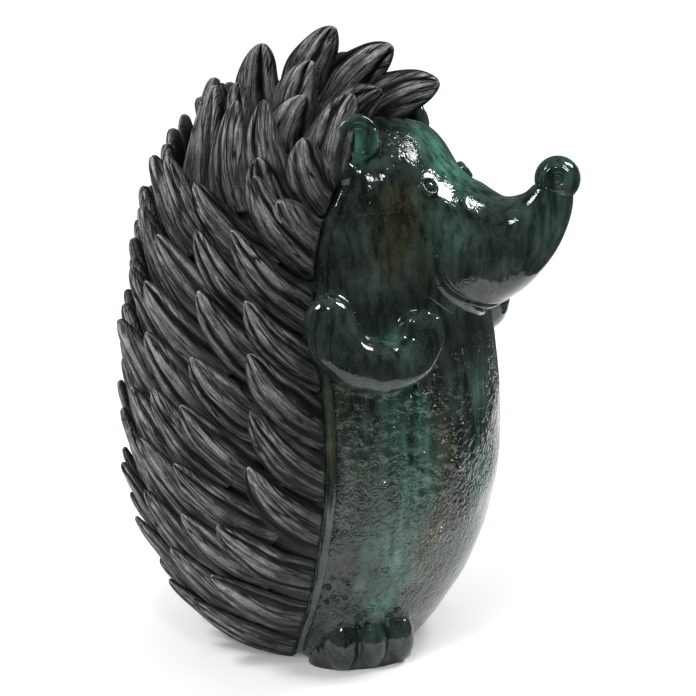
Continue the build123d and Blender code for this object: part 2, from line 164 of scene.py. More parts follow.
def make_piece(name, skin, material, attributes, node):
    """A smooth-shaded piece at the origin from the points, quads and triangles of a skin, with one value or
    vector for each point in every attribute. It rides the body and stands for a node of the frame."""
    points, quads, tris = skin
    mesh = bpy.data.meshes.new(name)
    mesh.vertices.add(len(points))
    mesh.vertices.foreach_set("co", (points * MM).astype(np.float32).ravel())
    corners = np.concatenate([quads.ravel(), tris.ravel()]).astype(np.int32)
    sizes = np.concatenate([np.full(len(quads), 4), np.full(len(tris), 3)]).astype(np.int32)
    mesh.loops.add(len(corners))
    mesh.loops.foreach_set("vertex_index", corners)
    mesh.polygons.add(len(sizes))
    mesh.polygons.foreach_set("loop_start", (np.cumsum(sizes) - sizes).astype(np.int32))
    mesh.update(calc_edges=True)
    mesh.validate()
    mesh.polygons.foreach_set("use_smooth", np.ones(len(sizes), bool))
    for key, values in attributes.items():
        kind = "FLOAT" if values.ndim == 1 else "FLOAT_VECTOR"
        layer = mesh.attributes.new(key, kind, "POINT")
        layer.data.foreach_set("value" if kind == "FLOAT" else "vector", values.astype(np.float32).ravel())
    mesh.materials.append(material)
    piece = bpy.data.objects.new(name, mesh)
    bpy.context.scene.collection.objects.link(piece)
    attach(piece, "root")
    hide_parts(node)
    print(name, len(points), "points")


# %% [markdown]
# ## The pot: an egg of three arcs
# The body is thrown or cast as an egg. Its outline is three arcs that meet smoothly: the belly, the
# shoulder and the crown. The same sizes drive the CAD source, so the skins sit on the solids. The seam
# between glaze and quills is a curve down its side, from the photo.

# %% The egg
BODY_R, WIDEST_Z, BASE_R = 78.0, 92.0, 42.0
SHOULDER_R, SHOULDER_Z, BASE_EDGE_R = 60.0, 192.0, 5.0
LOW_ARC_R = ((BODY_R - BASE_R) ** 2 + WIDEST_Z ** 2) / (2 * (BODY_R - BASE_R))
UP_ARC_R = ((BODY_R - SHOULDER_R) ** 2 + (SHOULDER_Z - WIDEST_Z) ** 2) / (2 * (BODY_R - SHOULDER_R))
LOW_TURN = asin(WIDEST_Z / LOW_ARC_R)
SHOULDER_TURN = asin((SHOULDER_Z - WIDEST_Z) / UP_ARC_R)
CROWN_R = SHOULDER_R / cos(SHOULDER_TURN)
CROWN_Z = SHOULDER_Z - CROWN_R * sin(SHOULDER_TURN)
BODY_H = CROWN_Z + CROWN_R

# Of the three arcs: radius, centre, slope at the lower end, and run along the outline to there
ARC_R = np.array([LOW_ARC_R, UP_ARC_R, CROWN_R])
ARC_X = np.array([BODY_R - LOW_ARC_R, BODY_R - UP_ARC_R, 0])
ARC_Z = np.array([WIDEST_Z, WIDEST_Z, CROWN_Z])
ARC_TURN = np.array([-LOW_TURN, 0, SHOULDER_TURN])
ARC_RUN = np.cumsum([0, LOW_ARC_R * LOW_TURN, UP_ARC_R * SHOULDER_TURN])
print("egg", round(BODY_H, 1), "mm high, arcs", ARC_R.round(1))


def egg_distance(p):
    """How far points are outside the egg: distance to the arc's centre less the arc's radius, for the arc
    that each point faces."""
    r, z = np.hypot(p[..., 0], p[..., 1]), p[..., 2]
    above = (z - CROWN_Z) * cos(SHOULDER_TURN) - r * sin(SHOULDER_TURN) > 0
    arc = np.where(z < WIDEST_Z, 0, np.where(above, 2, 1))
    return np.hypot(r - ARC_X[arc], z - ARC_Z[arc]) - ARC_R[arc]


def egg_place(run):
    """Radius, height and slope of the normal at a run along the outline from the base edge."""
    arc = np.searchsorted(ARC_RUN[1:], run, side="right")
    turn = ARC_TURN[arc] + (run - ARC_RUN[arc]) / ARC_R[arc]
    return ARC_X[arc] + ARC_R[arc] * np.cos(turn), ARC_Z[arc] + ARC_R[arc] * np.sin(turn), turn


def egg_radius(z):
    """Radius of the egg at a height."""
    arc = np.searchsorted([WIDEST_Z, SHOULDER_Z], z, side="right")
    return ARC_X[arc] + np.sqrt(np.maximum(ARC_R[arc] ** 2 - (z - ARC_Z[arc]) ** 2, 0))


SEAM_SHARES = np.array([
    (0.00, -0.03), (0.13, -0.21), (0.24, -0.31), (0.36, -0.37), (0.46, -0.37), (0.56, -0.34),
    (0.68, -0.29), (0.79, -0.275), (0.88, -0.32), (0.94, -0.36), (1.02, -0.40),
])
seam_line = curve(SEAM_SHARES, 200)


def seam_y(z):
    """Depth of the seam between glaze and quills at a height."""
    return BODY_R * np.interp(z / BODY_H, seam_line[:, 0], seam_line[:, 1])


# %% [markdown]
# ## The pressed-on forms as distances
# Head, arms and feet were formed by hand and pressed to the wet pot, and a finger smoothed each joint. A
# distance to each form, joined with a soft smaller-of-two, gives that smoothing: every skin is moved out to
# where the joined distance is zero.

# %% Distances to tubes and balls


def along_path(p, path):
    """For each point the nearest place of a centre line of straight steps: the offset from it, and the
    path's row there."""
    a, b = path[:-1], path[1:]
    step = b[:, :3] - a[:, :3]
    h = np.clip(((p[:, None] - a[:, :3]) * step).sum(-1) / (step * step).sum(-1), 0, 1)
    gap = p[:, None] - (a[:, :3] + h[..., None] * step)
    near = (gap * gap).sum(-1).argmin(-1)
    pick = np.arange(len(p)), near
    return gap[pick], a[near] + h[pick][:, None] * (b[near] - a[near])


def tube_distance(p, path):
    """Distance to a tube round a centre line: how far off the line, less the radius there. A second radius
    widens it sideways."""
    off, row = along_path(p.reshape(-1, 3), path)
    if path.shape[1] > 4:
        off = off * np.stack([row[:, 3] / row[:, 4], np.ones(len(row)), np.ones(len(row))], -1)
    return (np.linalg.norm(off, axis=-1) - row[:, 3]).reshape(p.shape[:-1])


def ball_distance(p, centre, radius):
    """Distance to the centre less the radius."""
    return np.linalg.norm(p - np.asarray(centre, float), axis=-1) - radius


def floor_place(angle, reach, z):
    """A point at an angle from straight ahead, right side positive, a reach from the axis and a height."""
    return np.array([-reach * sin(radians(angle)), -reach * cos(radians(angle)), z])


# %% [markdown]
# ### Head, arms and feet
# The head is a tube whose sections shrink and rise towards the snout. An arm is a bent roll with a ball for
# the hand and three finger bumps. A foot is a stretched ball with three toes. Sections and bends are shares
# of the body, taken off the photo.

# %% Head, arms and feet
HEAD_R, HEAD_Z, SNOUT_REACH = 46.0, 184.0, 104.0
NOSE_R, NOSE_Z = 9.4, 207.0
HEAD_SECTION_SHARES = np.array([
    (0.145, 0.000, 1.000, 0.980, 0), (0.400, 0.000, 0.940, 0.985, 0), (0.520, -0.130, 0.765, 0.870, 0),
    (0.620, -0.165, 0.640, 0.720, 4), (0.720, -0.125, 0.555, 0.590, 14), (0.812, -0.030, 0.445, 0.440, 31),
    (0.890, 0.100, 0.335, 0.315, 53), (0.955, 0.283, 0.232, 0.228, 75), (0.982, 0.410, 0.178, 0.178, 84),
])
HEAD_STEPS, HEAD_COARSE_STEP = 220, 5
head_rows = curve(HEAD_SECTION_SHARES, HEAD_STEPS)
head_path = np.stack([
    np.zeros(HEAD_STEPS), -head_rows[:, 0] * SNOUT_REACH, HEAD_Z + head_rows[:, 1] * HEAD_R,
    head_rows[:, 2] * HEAD_R, head_rows[:, 3] * HEAD_R,
], -1)

ARM_R, HAND_R, ARM_PROUD, FINGER_R, FINGER_FAN = 10.5, 9.0, 5.0, 4.0, 42
HAND_FILLET, FINGER_FILLET, TOE_FILLET = 2, 1.6, 1.2
ARM_SHARES = (
    (67, 0.668, 0.93), (65, 0.626, 1.00), (59, 0.593, 1.00), (50, 0.584, 1.00), (42, 0.600, 0.92),
    (38, 0.630, 0.84),
)
arm_path = np.array([
    [*floor_place(angle, float(egg_radius(share * BODY_H)) + ARM_PROUD, share * BODY_H), ARM_R * radius]
    for angle, share, radius in ARM_SHARES
])
arm_coarse = curve(arm_path, 18)
hand_at = arm_path[-1, :3]
hand_turn = radians(ARM_SHARES[-1][0])
hand_across = np.array([cos(hand_turn), -sin(hand_turn), 0])
hand_out = np.array([-sin(hand_turn), -cos(hand_turn), 0])
print("hand at", hand_at.round(1))


def with_fingers(d, p):
    """A distance joined softly with that to three finger bumps, fanned over the top of the hand."""
    for finger in (-1, 0, 1):
        turn = radians(90 - FINGER_FAN * finger)
        way = hand_across * cos(turn) + np.array([0, 0, sin(turn)])
        tip = hand_at + way * (HAND_R - FINGER_R / 2) + hand_out * FINGER_R / 2
        d = soft_min(d, ball_distance(p, tip, FINGER_R), FINGER_FILLET)
    return d


def hand_distance(p):
    """Distance to the hand's ball and its finger bumps."""
    return with_fingers(ball_distance(p, hand_at, HAND_R), p)


def head_distance(p):
    """Distance to the head's tube."""
    return tube_distance(p, head_path[::HEAD_COARSE_STEP])


def arms_distance(p):
    """Distance to the nearer arm: its tube, the hand's ball and the finger bumps."""
    p = right_side(p)
    return with_fingers(soft_min(tube_distance(p, arm_coarse), ball_distance(p, hand_at, HAND_R),
                                 HAND_FILLET), p)


FOOT_ANGLES = {"foot_right": 48, "foot_left": -62}
FOOT_W, FOOT_H, FOOT_L, FOOT_REACH = 46.0, 25.0, 30.0, 44.0
TOE_STEP, TOE_W, TOE_H, TOE_L, TOE_REACH = 13, 16.5, 23.0, 24.0, 64.0


def egg_ball_distance(p, centre, angle, length, width, height):
    """Distance to a stretched ball: the length of the point in units of the half axes, less one, times the
    smallest half axis."""
    q = p - centre
    s, c = sin(radians(angle)), cos(radians(angle))
    out = -q[..., 0] * s - q[..., 1] * c
    across = -q[..., 0] * c + q[..., 1] * s
    k = np.sqrt((out / (length / 2)) ** 2 + (across / (width / 2)) ** 2 + (q[..., 2] / (height / 2)) ** 2)
    return (k - 1) * min(length, width, height) / 2


def foot_distance(p, angle):
    """Distance to a foot: the mound and its three toes."""
    d = egg_ball_distance(p, floor_place(angle, FOOT_REACH, 0), angle, FOOT_L, FOOT_W, 2 * FOOT_H)
    for toe in (-1, 0, 1):
        turn = angle + toe * TOE_STEP
        at = floor_place(turn, TOE_REACH - TOE_L / 2, TOE_H - TOE_W * 3 / 4)
        d = soft_min(d, egg_ball_distance(p, at, turn, TOE_L, TOE_W, TOE_W * 3 / 2), TOE_FILLET)
    return d


def feet_distance(p):
    """Distance to the nearer foot."""
    return np.minimum(*(foot_distance(p, angle) for angle in FOOT_ANGLES.values()))


# %% [markdown]
# ### Smoothing the joints
# The potter's finger drags clay into each corner. Here every point of a form is pushed out until it lies on
# the joined surface, and the glaze is laid on top. Points well inside a neighbour stay where they are, since
# nothing of them shows.

# %% Settling
GLAZE_T = 0.3
SETTLE_STEPS, SETTLE_IN, SETTLE_OUT = 6, -2, 7.0
HIDDEN_DEPTH, SHOWN_DEPTH = -4.5, -0.8

# Where two skins lap in a fillet, the lower one lies this much deeper
LAP = 0.35


def settle(grid, normals, others, glaze_t, near_other):
    """Moves each point of a form's own surface out along its normal, into the fillets with its neighbours.
    The way gone so far is the distance to the form itself. It is joined softly with each neighbour's
    distance, and what is left inside is gone outwards, several times over. Last comes the glaze's
    thickness, which may differ from point to point. The move fades out inside the nearest neighbour."""
    flat, out = grid.reshape(-1, 3), normals.reshape(-1, 3)
    t = np.zeros(len(flat))
    for _ in range(SETTLE_STEPS):
        place = flat + out * t[:, None]
        d = t
        for field, fillet in others:
            d = soft_min(d, field(place), fillet)
        t = np.clip(t - d, SETTLE_IN, SETTLE_OUT)
    move = out * (t + glaze_t)[:, None]
    return (flat + move * smooth(near_other, HIDDEN_DEPTH, SHOWN_DEPTH)[:, None]).reshape(grid.shape)


# %% [markdown]
# ## Materials
# Two real finishes do all the work. The front wears a reactive glaze, dark bottle green with runs of teal
# and amber, fired to a wet gloss over small blisters. The quills are unglazed stoneware, stained charcoal,
# with pale slip dragged over the ridges by a nearly dry brush.

# %% Material tools


def colour(code):
    """An sRGB hex colour as linear red, green, blue and alpha."""
    srgb = np.array([int(code[i:i + 2], 16) for i in (1, 3, 5)]) / 255
    linear = np.where(srgb <= 0.04045, srgb / 12.92, ((srgb + 0.055) / 1.055) ** 2.4)
    return (*[float(x) for x in linear], 1.0)


def feed(node, **values):
    """Gives a node its values. A name in small letters is a setting of its own. Any other is a socket, by
    name with underscores for spaces or by number after an n, and takes a value or the output to link."""
    for key, value in values.items():
        by_number = key[1:].isdigit()
        if key.islower() and not by_number:
            setattr(node, key, value)
            continue
        socket = node.inputs[int(key[1:]) if by_number else key.replace("_", " ")]
        if isinstance(value, bpy.types.NodeSocket):
            node.id_data.links.new(value, socket)
        else:
            socket.default_value = value


def add(tree, kind, give=0, **values):
    """Adds one node with its settings and links, and gives back one of its outputs."""
    node = tree.nodes.new("ShaderNode" + kind)
    feed(node, **values)
    return node.outputs[give]


def new_material(name, **values):
    """A material, the tree that holds its nodes, and its shader with values on the sockets."""
    material = bpy.data.materials.new(name)
    material.use_nodes = True
    tree = material.node_tree
    tree.nodes.clear()
    shader = tree.nodes.new("ShaderNodeBsdfPrincipled")
    feed(shader, **values)
    feed(tree.nodes.new("ShaderNodeOutputMaterial"), n0=shader.outputs[0])
    return material, tree, shader


def ramp(tree, value, *stops):
    """The colour that a value has on a ramp of stops, each a place and a hex colour or a plain grey."""
    output = add(tree, "ValToRGB", n0=value)
    elements = output.node.color_ramp.elements
    while len(elements) < len(stops):
        elements.new(0.5)
    for element, (place, shade) in zip(elements, stops):
        element.position = place
        element.color = colour(shade) if isinstance(shade, str) else (shade, shade, shade, 1)
    return output


# %% [markdown]
# ### Reactive glaze
# A dark gloss glaze over a textured body. Its colour breaks where it runs: teal where it is thick on the
# forehead, amber and green runs down the belly, olive on the cheek. These follow the form, so their places
# are worked out point by point as attributes. The shader adds what is finer: clouds, pale specks, and dark
# streaks from a noise that is stretched downwards.

# %% Glaze colour
glaze, tree, shader = new_material("dark_green_reactive_glaze", Roughness=0.05, IOR=1.52)
place = add(tree, "TexCoord", "Object")
teal, amber, blister_share = (add(tree, "Attribute", "Fac", attribute_name=name)
                              for name in ("teal", "amber", "blister"))
cloud = add(tree, "TexNoise", n0=place, Scale=55.0, Detail=4.0, Roughness=0.6)
speck = add(tree, "TexNoise", n0=place, Scale=900.0, Detail=3.0, Roughness=0.65)
base = ramp(tree, cloud, (0.30, "#1b221e"), (0.55, "#343f3a"), (0.75, "#55625b"))
green = ramp(tree, cloud, (0.30, "#2a6350"), (0.7, "#6dac94"))
brown = ramp(tree, cloud, (0.30, "#1d1b0d"), (0.7, "#4b4529"))
mix_green = add(tree, "Mix", 2, data_type="RGBA", n0=teal, n6=base, n7=green)
mix_brown = add(tree, "Mix", 2, data_type="RGBA", n0=amber, n6=mix_green, n7=brown)
speck_share = add(tree, "MapRange", n0=speck, n1=0.5, n2=0.72, n3=0.0, n4=0.5)
speckled = add(tree, "Mix", 2, data_type="RGBA", n0=speck_share, n6=mix_brown, n7=colour("#4f5d55"))
run_place = add(tree, "Mapping", n0=place, n3=(1.0, 1.0, 0.14))
runs_down = add(tree, "TexNoise", n0=run_place, Scale=230.0, Detail=4.0, Roughness=0.6)
run_tone = ramp(tree, runs_down, (0.34, "#7d7d7d"), (0.52, "#e2e2e2"), (0.66, "#ffffff"))
streaked = add(tree, "Mix", 2, data_type="RGBA", blend_type="MULTIPLY", n0=1.0, n6=speckled, n7=run_tone)
feed(shader, Base_Color=streaked)
print("glaze colour from", len(tree.nodes), "nodes")

# %% [markdown]
# ### Glaze relief
# The fired surface swells and wrinkles, and where gas came up it has rings a few millimetres across, blisters
# that burst and healed. They are too small for the mesh, so three bumps carry them, one on top of the other,
# and the wrinkles and rings are strong only where the blister attribute is high.

# %% Glaze relief
cells = add(tree, "TexVoronoi", "Distance", feature="F1", n0=place, Scale=230.0, Randomness=1.0)
ring = ramp(tree, cells, (0.0, 0), (0.16, 0.1), (0.26, 1), (0.36, 0.35), (0.5, 0.5))
patch = add(tree, "TexNoise", n0=place, Scale=70.0, Detail=2.0)
patchy = add(tree, "MapRange", n0=patch, n1=0.48, n2=0.62)
ring_share = add(tree, "Math", operation="MULTIPLY", n0=patchy, n1=blister_share)
swell = add(tree, "TexNoise", n0=place, Scale=110.0, Detail=1.0, Roughness=0.5)
wrinkle = add(tree, "TexNoise", n0=place, Scale=230.0, Detail=2.0, Roughness=0.5, Distortion=2.2)
wrinkle_share = add(tree, "MapRange", n0=blister_share, n1=0.12, n2=1.0, n3=0.08, n4=0.8)
swell_bump = add(tree, "Bump", Strength=0.2, Distance=0.0012, Height=swell)
wrinkle_bump = add(tree, "Bump", Strength=wrinkle_share, Distance=0.0014, Height=wrinkle, Normal=swell_bump)
ring_bump = add(tree, "Bump", Strength=ring_share, Distance=0.0022, Height=ring, Normal=wrinkle_bump)
feed(shader, Normal=ring_bump)
print("glaze with its relief", len(tree.nodes), "nodes")

# %% [markdown]
# ### Quill clay
# Unglazed charcoal stoneware, scored lengthwise with a tool, then brushed with pale slip by a nearly dry
# brush. Each quill carries the height of its ridges, and a grain place in millimetres across and along it. So
# the slip stays on the ridges, and scored lines and brush strokes run with the quill whichever way it points.
# Painted shade is mixed into that height: the slip is darker towards a quill's root and along its side edges,
# and lighter towards its tip.

# %% Quill clay
quill_clay, tree, shader = new_material("dry_brushed_charcoal_stoneware", Roughness=0.62, IOR=1.38)
# Slip share of each quill, with painted shade towards the root and side edges and painted light towards the
# tip.
slip_with_shade = add(tree, "Attribute", "Fac", attribute_name="slip_with_shade")
grain_place = add(tree, "Attribute", "Vector", attribute_name="grain")
object_place = add(tree, "TexCoord", "Object")


def scored_lines(across, along, width, deepest):
    """Thin wavering lines along a quill: where stretched noise crosses its middle value, the way gone from
    that value is small. 0 on a line and 1 a width away."""
    where = add(tree, "Mapping", n0=grain_place, n3=(across, along, 1.0))
    noise = add(tree, "TexNoise", n0=where, Scale=1.0, Detail=2.0, Roughness=0.45)
    gone = add(tree, "Math", operation="SUBTRACT", n0=noise, n1=0.5)
    size = add(tree, "Math", operation="ABSOLUTE", n0=gone)
    return add(tree, "MapRange", interpolation_type="SMOOTHSTEP", n0=size, n1=0.0, n2=width, n3=deepest,
               n4=1.0)


broad_lines = scored_lines(0.36, 0.026, 0.038, 0.03)
fine_lines = scored_lines(0.95, 0.06, 0.045, 0.4)
scored = add(tree, "Math", operation="MULTIPLY", n0=broad_lines, n1=fine_lines)
brush_map = add(tree, "Mapping", n0=grain_place, n3=(2.2, 0.22, 1.0))
brush = add(tree, "TexNoise", n0=brush_map, Scale=1.0, Detail=6.0, Roughness=0.7)
grit = add(tree, "TexNoise", n0=object_place, Scale=1100.0, Detail=4.0, Roughness=0.75)
brush_grit = add(tree, "Math", operation="MULTIPLY", n0=brush, n1=grit)
slip_share = add(tree, "MapRange", n0=brush_grit, n1=0.14, n2=0.34, n3=0.5, n4=1.0)
bare = add(tree, "TexNoise", n0=object_place, Scale=120.0, Detail=3.0, Roughness=0.6)
bare_share = add(tree, "MapRange", n0=bare, n1=0.36, n2=0.6, n3=0.65, n4=1.1)
for share in (slip_with_shade, bare_share, scored):
    slip_share = add(tree, "Math", operation="MULTIPLY", n0=slip_share, n1=share)
slip = ramp(tree, slip_share, (0.0, "#050606"), (0.15, "#353837"), (0.47, "#767977"), (1.0, "#b8bab7"))
score = add(tree, "Bump", Strength=0.9, Distance=0.0009, Height=scored)
scratch = add(tree, "Bump", Strength=0.5, Distance=0.0006, Height=brush, Normal=score)
gritty = add(tree, "Bump", Strength=0.5, Distance=0.0003, Height=grit, Normal=scratch)
feed(shader, Base_Color=slip, Normal=gritty)
print("quill clay", len(tree.nodes), "nodes")

# %% [markdown]
# ### Bare clay
# The wall under the quills is the same stained clay, and the slab under the foot is bare buff stoneware. Both
# are sandy clay that was only fired, so two close shades and a fine tooth are enough.

# %% Bare clay


def bare_clay(name, dark, pale, roughness):
    """Fired unglazed stoneware: two close shades mixed by grit about one millimetre across, with a fine
    tooth."""
    material, tree, shader = new_material(name, Roughness=roughness)
    where = add(tree, "TexCoord", "Object")
    sand = add(tree, "TexNoise", n0=where, Scale=1000.0, Detail=4.0, Roughness=0.7)
    tooth = add(tree, "Bump", Strength=0.5, Distance=0.0003, Height=sand)
    feed(shader, Base_Color=ramp(tree, sand, (0.35, dark), (0.7, pale)), Normal=tooth)
    return material


coat_clay = bare_clay("charcoal_stained_stoneware", "#0d0e0e", "#242626", 0.75)
buff_clay = bare_clay("buff_stoneware", "#6f6149", "#a08f70", 0.8)
print("bare clays", coat_clay.name, buff_clay.name)

# %% [markdown]
# ## Where the glaze changes colour
# Runs of colour follow gravity, so most of them are bands at an angle round the body that fade with height.
# The rest are spots where the glaze lay thick or thin. Both are placed from the photo.

# %% Glaze runs
# Runs: share, angle, width, top and bottom. Spots: share, centre and radius.
TEAL_RUNS = (0.5, 43, 10, 128, 22), (0.35, 8, 7, 128, 15)
TEAL_SPOTS = (
    (1.0, 3, -49, 220, 12), (1.0, -3, -58, 209, 11), (0.5, -14, -64, 200, 9), (0.25, -30, -66, 184, 10),
    (0.9, -36, -30, 222, 7), (0.8, -58, -52, 143, 7), (0.5, 0, -110, 210, 9), (0.3, -4, -103, 190, 12),
)
AMBER_RUNS = (1.0, 31, 3.5, 124, 45), (0.35, 64, 7, 128, 85)
AMBER_SPOTS = (
    (0.9, -38, -48, 200, 9), (0.9, -42, -48, 189, 9), (0.7, -43, -44, 177, 9), (0.5, -34, -60, 172, 8),
    (0.6, -66, -44, 138, 9),
)
BLISTER_RUNS, BLISTER_SPOTS = [(0.6, 32, 12, 122, 40)], [(0.8, -20, -42, 222, 9)]
DRIFT, DRIFT_LENGTH, BOTTOM_FADE, TOP_FADE = 3.0, 17.0, 12, 8


def run_down(p, angle, width, top, bottom):
    """A run of glaze: full at an angle round the body, gone a width away, between two heights. The angle
    drifts a little with height, as a run does."""
    turn = np.degrees(np.arctan2(-p[..., 0], -p[..., 1]))
    drift = DRIFT * np.sin(p[..., 2] / DRIFT_LENGTH + angle)
    across = np.exp(-((turn - angle - drift) / width) ** 2)
    started = 1 - smooth(p[..., 2], top - TOP_FADE, top + TOP_FADE)
    return across * smooth(p[..., 2], bottom - BOTTOM_FADE, bottom + BOTTOM_FADE) * started


def shares(p, runs, spots):
    """All the runs and spots together. A spot is 1 at its centre and fades as the bell curve of the
    distance over its radius."""
    total = sum(share * run_down(p, *run) for share, *run in runs)
    for share, *centre, radius in spots:
        total = total + share * np.exp(-(ball_distance(p, centre, 0) / radius) ** 2)
    return total


def glaze_attributes(p):
    """Shares of teal, amber and blisters at each point. The two colours are grained by wobbles that are
    drawn out down the wall. Blisters rose low on the figure, most of all beside the middle."""
    both = right_side(p)
    grain = (0.8 + 0.3 * wobble(p * np.array([1, 1, 0.2]), 9, 5)
             + 0.25 * wobble(p * np.array([1, 1, 0.08]), 3.5, 7))
    low = 1 - smooth(p[..., 2], 128, 146)
    blister = low * (0.55 + 0.45 * smooth(np.abs(p[..., 0]), 12, 40)) + 0.12
    blister = blister + shares(both, BLISTER_RUNS, BLISTER_SPOTS)
    return {
        "teal": np.clip(shares(both, TEAL_RUNS, TEAL_SPOTS) * grain, 0, 1).ravel(),
        "amber": np.clip(shares(both, AMBER_RUNS, AMBER_SPOTS) * grain, 0, 1).ravel(),
        "blister": np.clip(blister, 0, 1).ravel(),
    }


def smooth_glaze(p):
    """Glaze shares of a small smooth form, where few blisters rose."""
    values = glaze_attributes(p)
    return {**values, "blister": 0.15 * values["blister"]}


# %% [markdown]
# ## The belly
# The belly's skin covers the front of the egg between the two seams, from the foot ring to the crown. It
# swells softly, and rises into a fillet where the head, the arms and the feet were smoothed on.

# %% Belly grid
BELLY_ROWS, BELLY_COLS, EDGE_ROWS, CROWN_HOLE_SHARE = 300, 260, 8, 0.39
top_run = ARC_RUN[2] + CROWN_R * (acos(CROWN_HOLE_SHARE * BODY_R / CROWN_R) - SHOULDER_TURN)
belly_r, belly_z, belly_turn = egg_place(np.linspace(BASE_EDGE_R * 0.8, top_run, BELLY_ROWS - EDGE_ROWS))
edge_turn = np.linspace(-pi / 2, belly_turn[0], EDGE_ROWS, endpoint=False)
edge_r = belly_r[0] + BASE_EDGE_R * (np.cos(edge_turn) - cos(belly_turn[0]))
edge_z = belly_z[0] + BASE_EDGE_R * (np.sin(edge_turn) - sin(belly_turn[0]))
belly_r = np.concatenate([edge_r, belly_r])[:, None]
belly_z = np.concatenate([np.maximum(edge_z, 0), belly_z])[:, None]
seam_angle = np.arccos(np.clip(-seam_y(belly_z) / np.maximum(belly_r, 1), -1, 1))
turn = np.linspace(-1, 1, BELLY_COLS) * seam_angle
belly = np.stack([-belly_r * np.sin(turn), -belly_r * np.cos(turn), belly_z + 0 * turn], -1)
print("belly grid", belly.shape[:2], "up to", belly_z[-1].round(1))

# %% [markdown]
# ### Bubbles and the belly's skin
# Below the right arm the photo shows a crowd of round bubbles that stayed in the glaze. They are big enough
# to stand up in the mesh, so each is a small cap on the skin, with its place and size from a seeded draw.

# %% Belly skin
# Bubbles: their number, and their angles from straight ahead, heights and radii
BUBBLES_FRONT, BUBBLES_SIDE, BUBBLE_HIGH = 64, 24, 0.55
rng = np.random.default_rng(12)
bubble_turn = np.radians(np.concatenate([rng.normal(33, 5, BUBBLES_FRONT), rng.normal(57, 6, BUBBLES_SIDE)]))
bubble_z = np.concatenate([rng.triangular(76, 120, 126, BUBBLES_FRONT), rng.uniform(98, 126, BUBBLES_SIDE)])
bubble_r = rng.uniform(1.7, 3.0, BUBBLES_FRONT + BUBBLES_SIDE)
bubble_out = egg_radius(bubble_z)
bubble_at = np.stack([-bubble_out * np.sin(bubble_turn), -bubble_out * np.cos(bubble_turn), bubble_z], -1)


def bubble_height(p):
    """How high the bubbles stand: over each one a round cap, 1 less the square of the way out from its
    middle, times a little over half its radius."""
    gap = np.linalg.norm(p[:, None] - bubble_at, axis=-1) / bubble_r
    return (BUBBLE_HIGH * bubble_r * np.clip(1 - gap ** 2, 0, 1)).max(-1)


def lumps_distance(p):
    """Distance to the pad of clay pressed under each ear."""
    return ball_distance(right_side(p), (-43.5, -26, 211.5), 5.5)


flat = belly.reshape(-1, 3)
near_other = np.minimum(np.minimum(head_distance(flat), arms_distance(flat)), feet_distance(flat))
belly_glaze = (GLAZE_T + 0.35 * wobble(flat, 26, 2) - LAP * (1 - smooth(near_other, 4, 9))
               + bubble_height(flat))
belly_skin = settle(belly, grid_normals(belly, belly, False),
                    [(head_distance, 3.5), (arms_distance, 5), (feet_distance, 4), (lumps_distance, 4)],
                    belly_glaze, near_other)
belly_skin[..., 2] = np.maximum(belly_skin[..., 2], 0)
points = belly_skin.reshape(-1, 3)
make_piece("belly_skin", (points, grid_faces(*belly.shape[:2], False), np.zeros((0, 3), int)), glaze,
           glaze_attributes(points), "belly_shell")

# %% [markdown]
# ## The head
# The head is a lobe that runs forward and turns up to the nose. Its skin goes round the centre line in
# ellipses, then settles into the fillet with the belly. The smile is a line drawn in the wet clay, a groove
# with a low lip that the tool pushed up.

# %% Head skin
HEAD_COLS, SMILE_STEPS, NEARER_FIRST = 360, 40, 0.02
SMILE_DEPTH, SMILE_W, LIP_HEIGHT, LIP_W = 1.7, 1.1, 0.6, 2.6
SMILE_SHARES = np.array([
    (-0.740, -0.150), (-0.694, -0.337), (-0.630, -0.437), (-0.554, -0.511), (-0.463, -0.570),
    (-0.363, -0.613), (-0.230, -0.643), (0, -0.655),
])
head_turn = around(HEAD_COLS)
pitch = np.radians(head_rows[:, 4])
upward = np.stack([np.zeros(HEAD_STEPS), np.sin(pitch), np.cos(pitch)], -1)
head_ring = (upward[:, None] * (head_path[:, 3, None] * np.sin(head_turn))[..., None]
             + np.array([1.0, 0, 0]) * (head_path[:, 4, None] * np.cos(head_turn))[..., None])
head = head_path[:, None, :3] + head_ring
head_normals = grid_normals(head, head_ring)
front = head[(head_normals[..., 1] < 0.1)]
wanted = SMILE_SHARES * HEAD_R + [0, HEAD_Z]
off = np.linalg.norm(front[None, :, ::2] - wanted[:, None], axis=-1)
off += NEARER_FIRST * (front[None, :, 1] + SNOUT_REACH)
smile_line = curve(front[off.argmin(1)], SMILE_STEPS)
print("smile from", smile_line[0].round(1), "to", smile_line[-1].round(1))


def line_near(p, line, width):
    """1 on a drawn line, fading over its width as a bell curve."""
    off, _ = along_path(right_side(p), line)
    return np.exp(-((off * off).sum(-1) / width ** 2))


flat = head.reshape(-1, 3)
head_glaze = GLAZE_T + 0.4 * wobble(flat, 24, 3) - SMILE_DEPTH * line_near(flat, smile_line, SMILE_W)
head_glaze += LIP_HEIGHT * line_near(flat, smile_line, LIP_W)
head_skin = settle(head, head_normals, [(egg_distance, 3.5), (arms_distance, 3)], head_glaze,
                   egg_distance(flat))
skin = closed_skin(head_skin, head_path[0, :3], head_path[-1, :3])
make_piece("head_skin", skin, glaze, glaze_attributes(skin[0]), "head_shell")

# %% [markdown]
# ## Arms
# An arm is a roll of clay bent round the belly, with three fingertips pressed at its end. The roll is a tube
# along a curve, settled to the hand and softly into the belly. The left arm is its mirror image.

# %% Arms
ARM_ROWS, ARM_COLS, END_ROWS = 150, 96, 18
SEEN_FROM = np.array([-0.55, -0.83, 0.1])


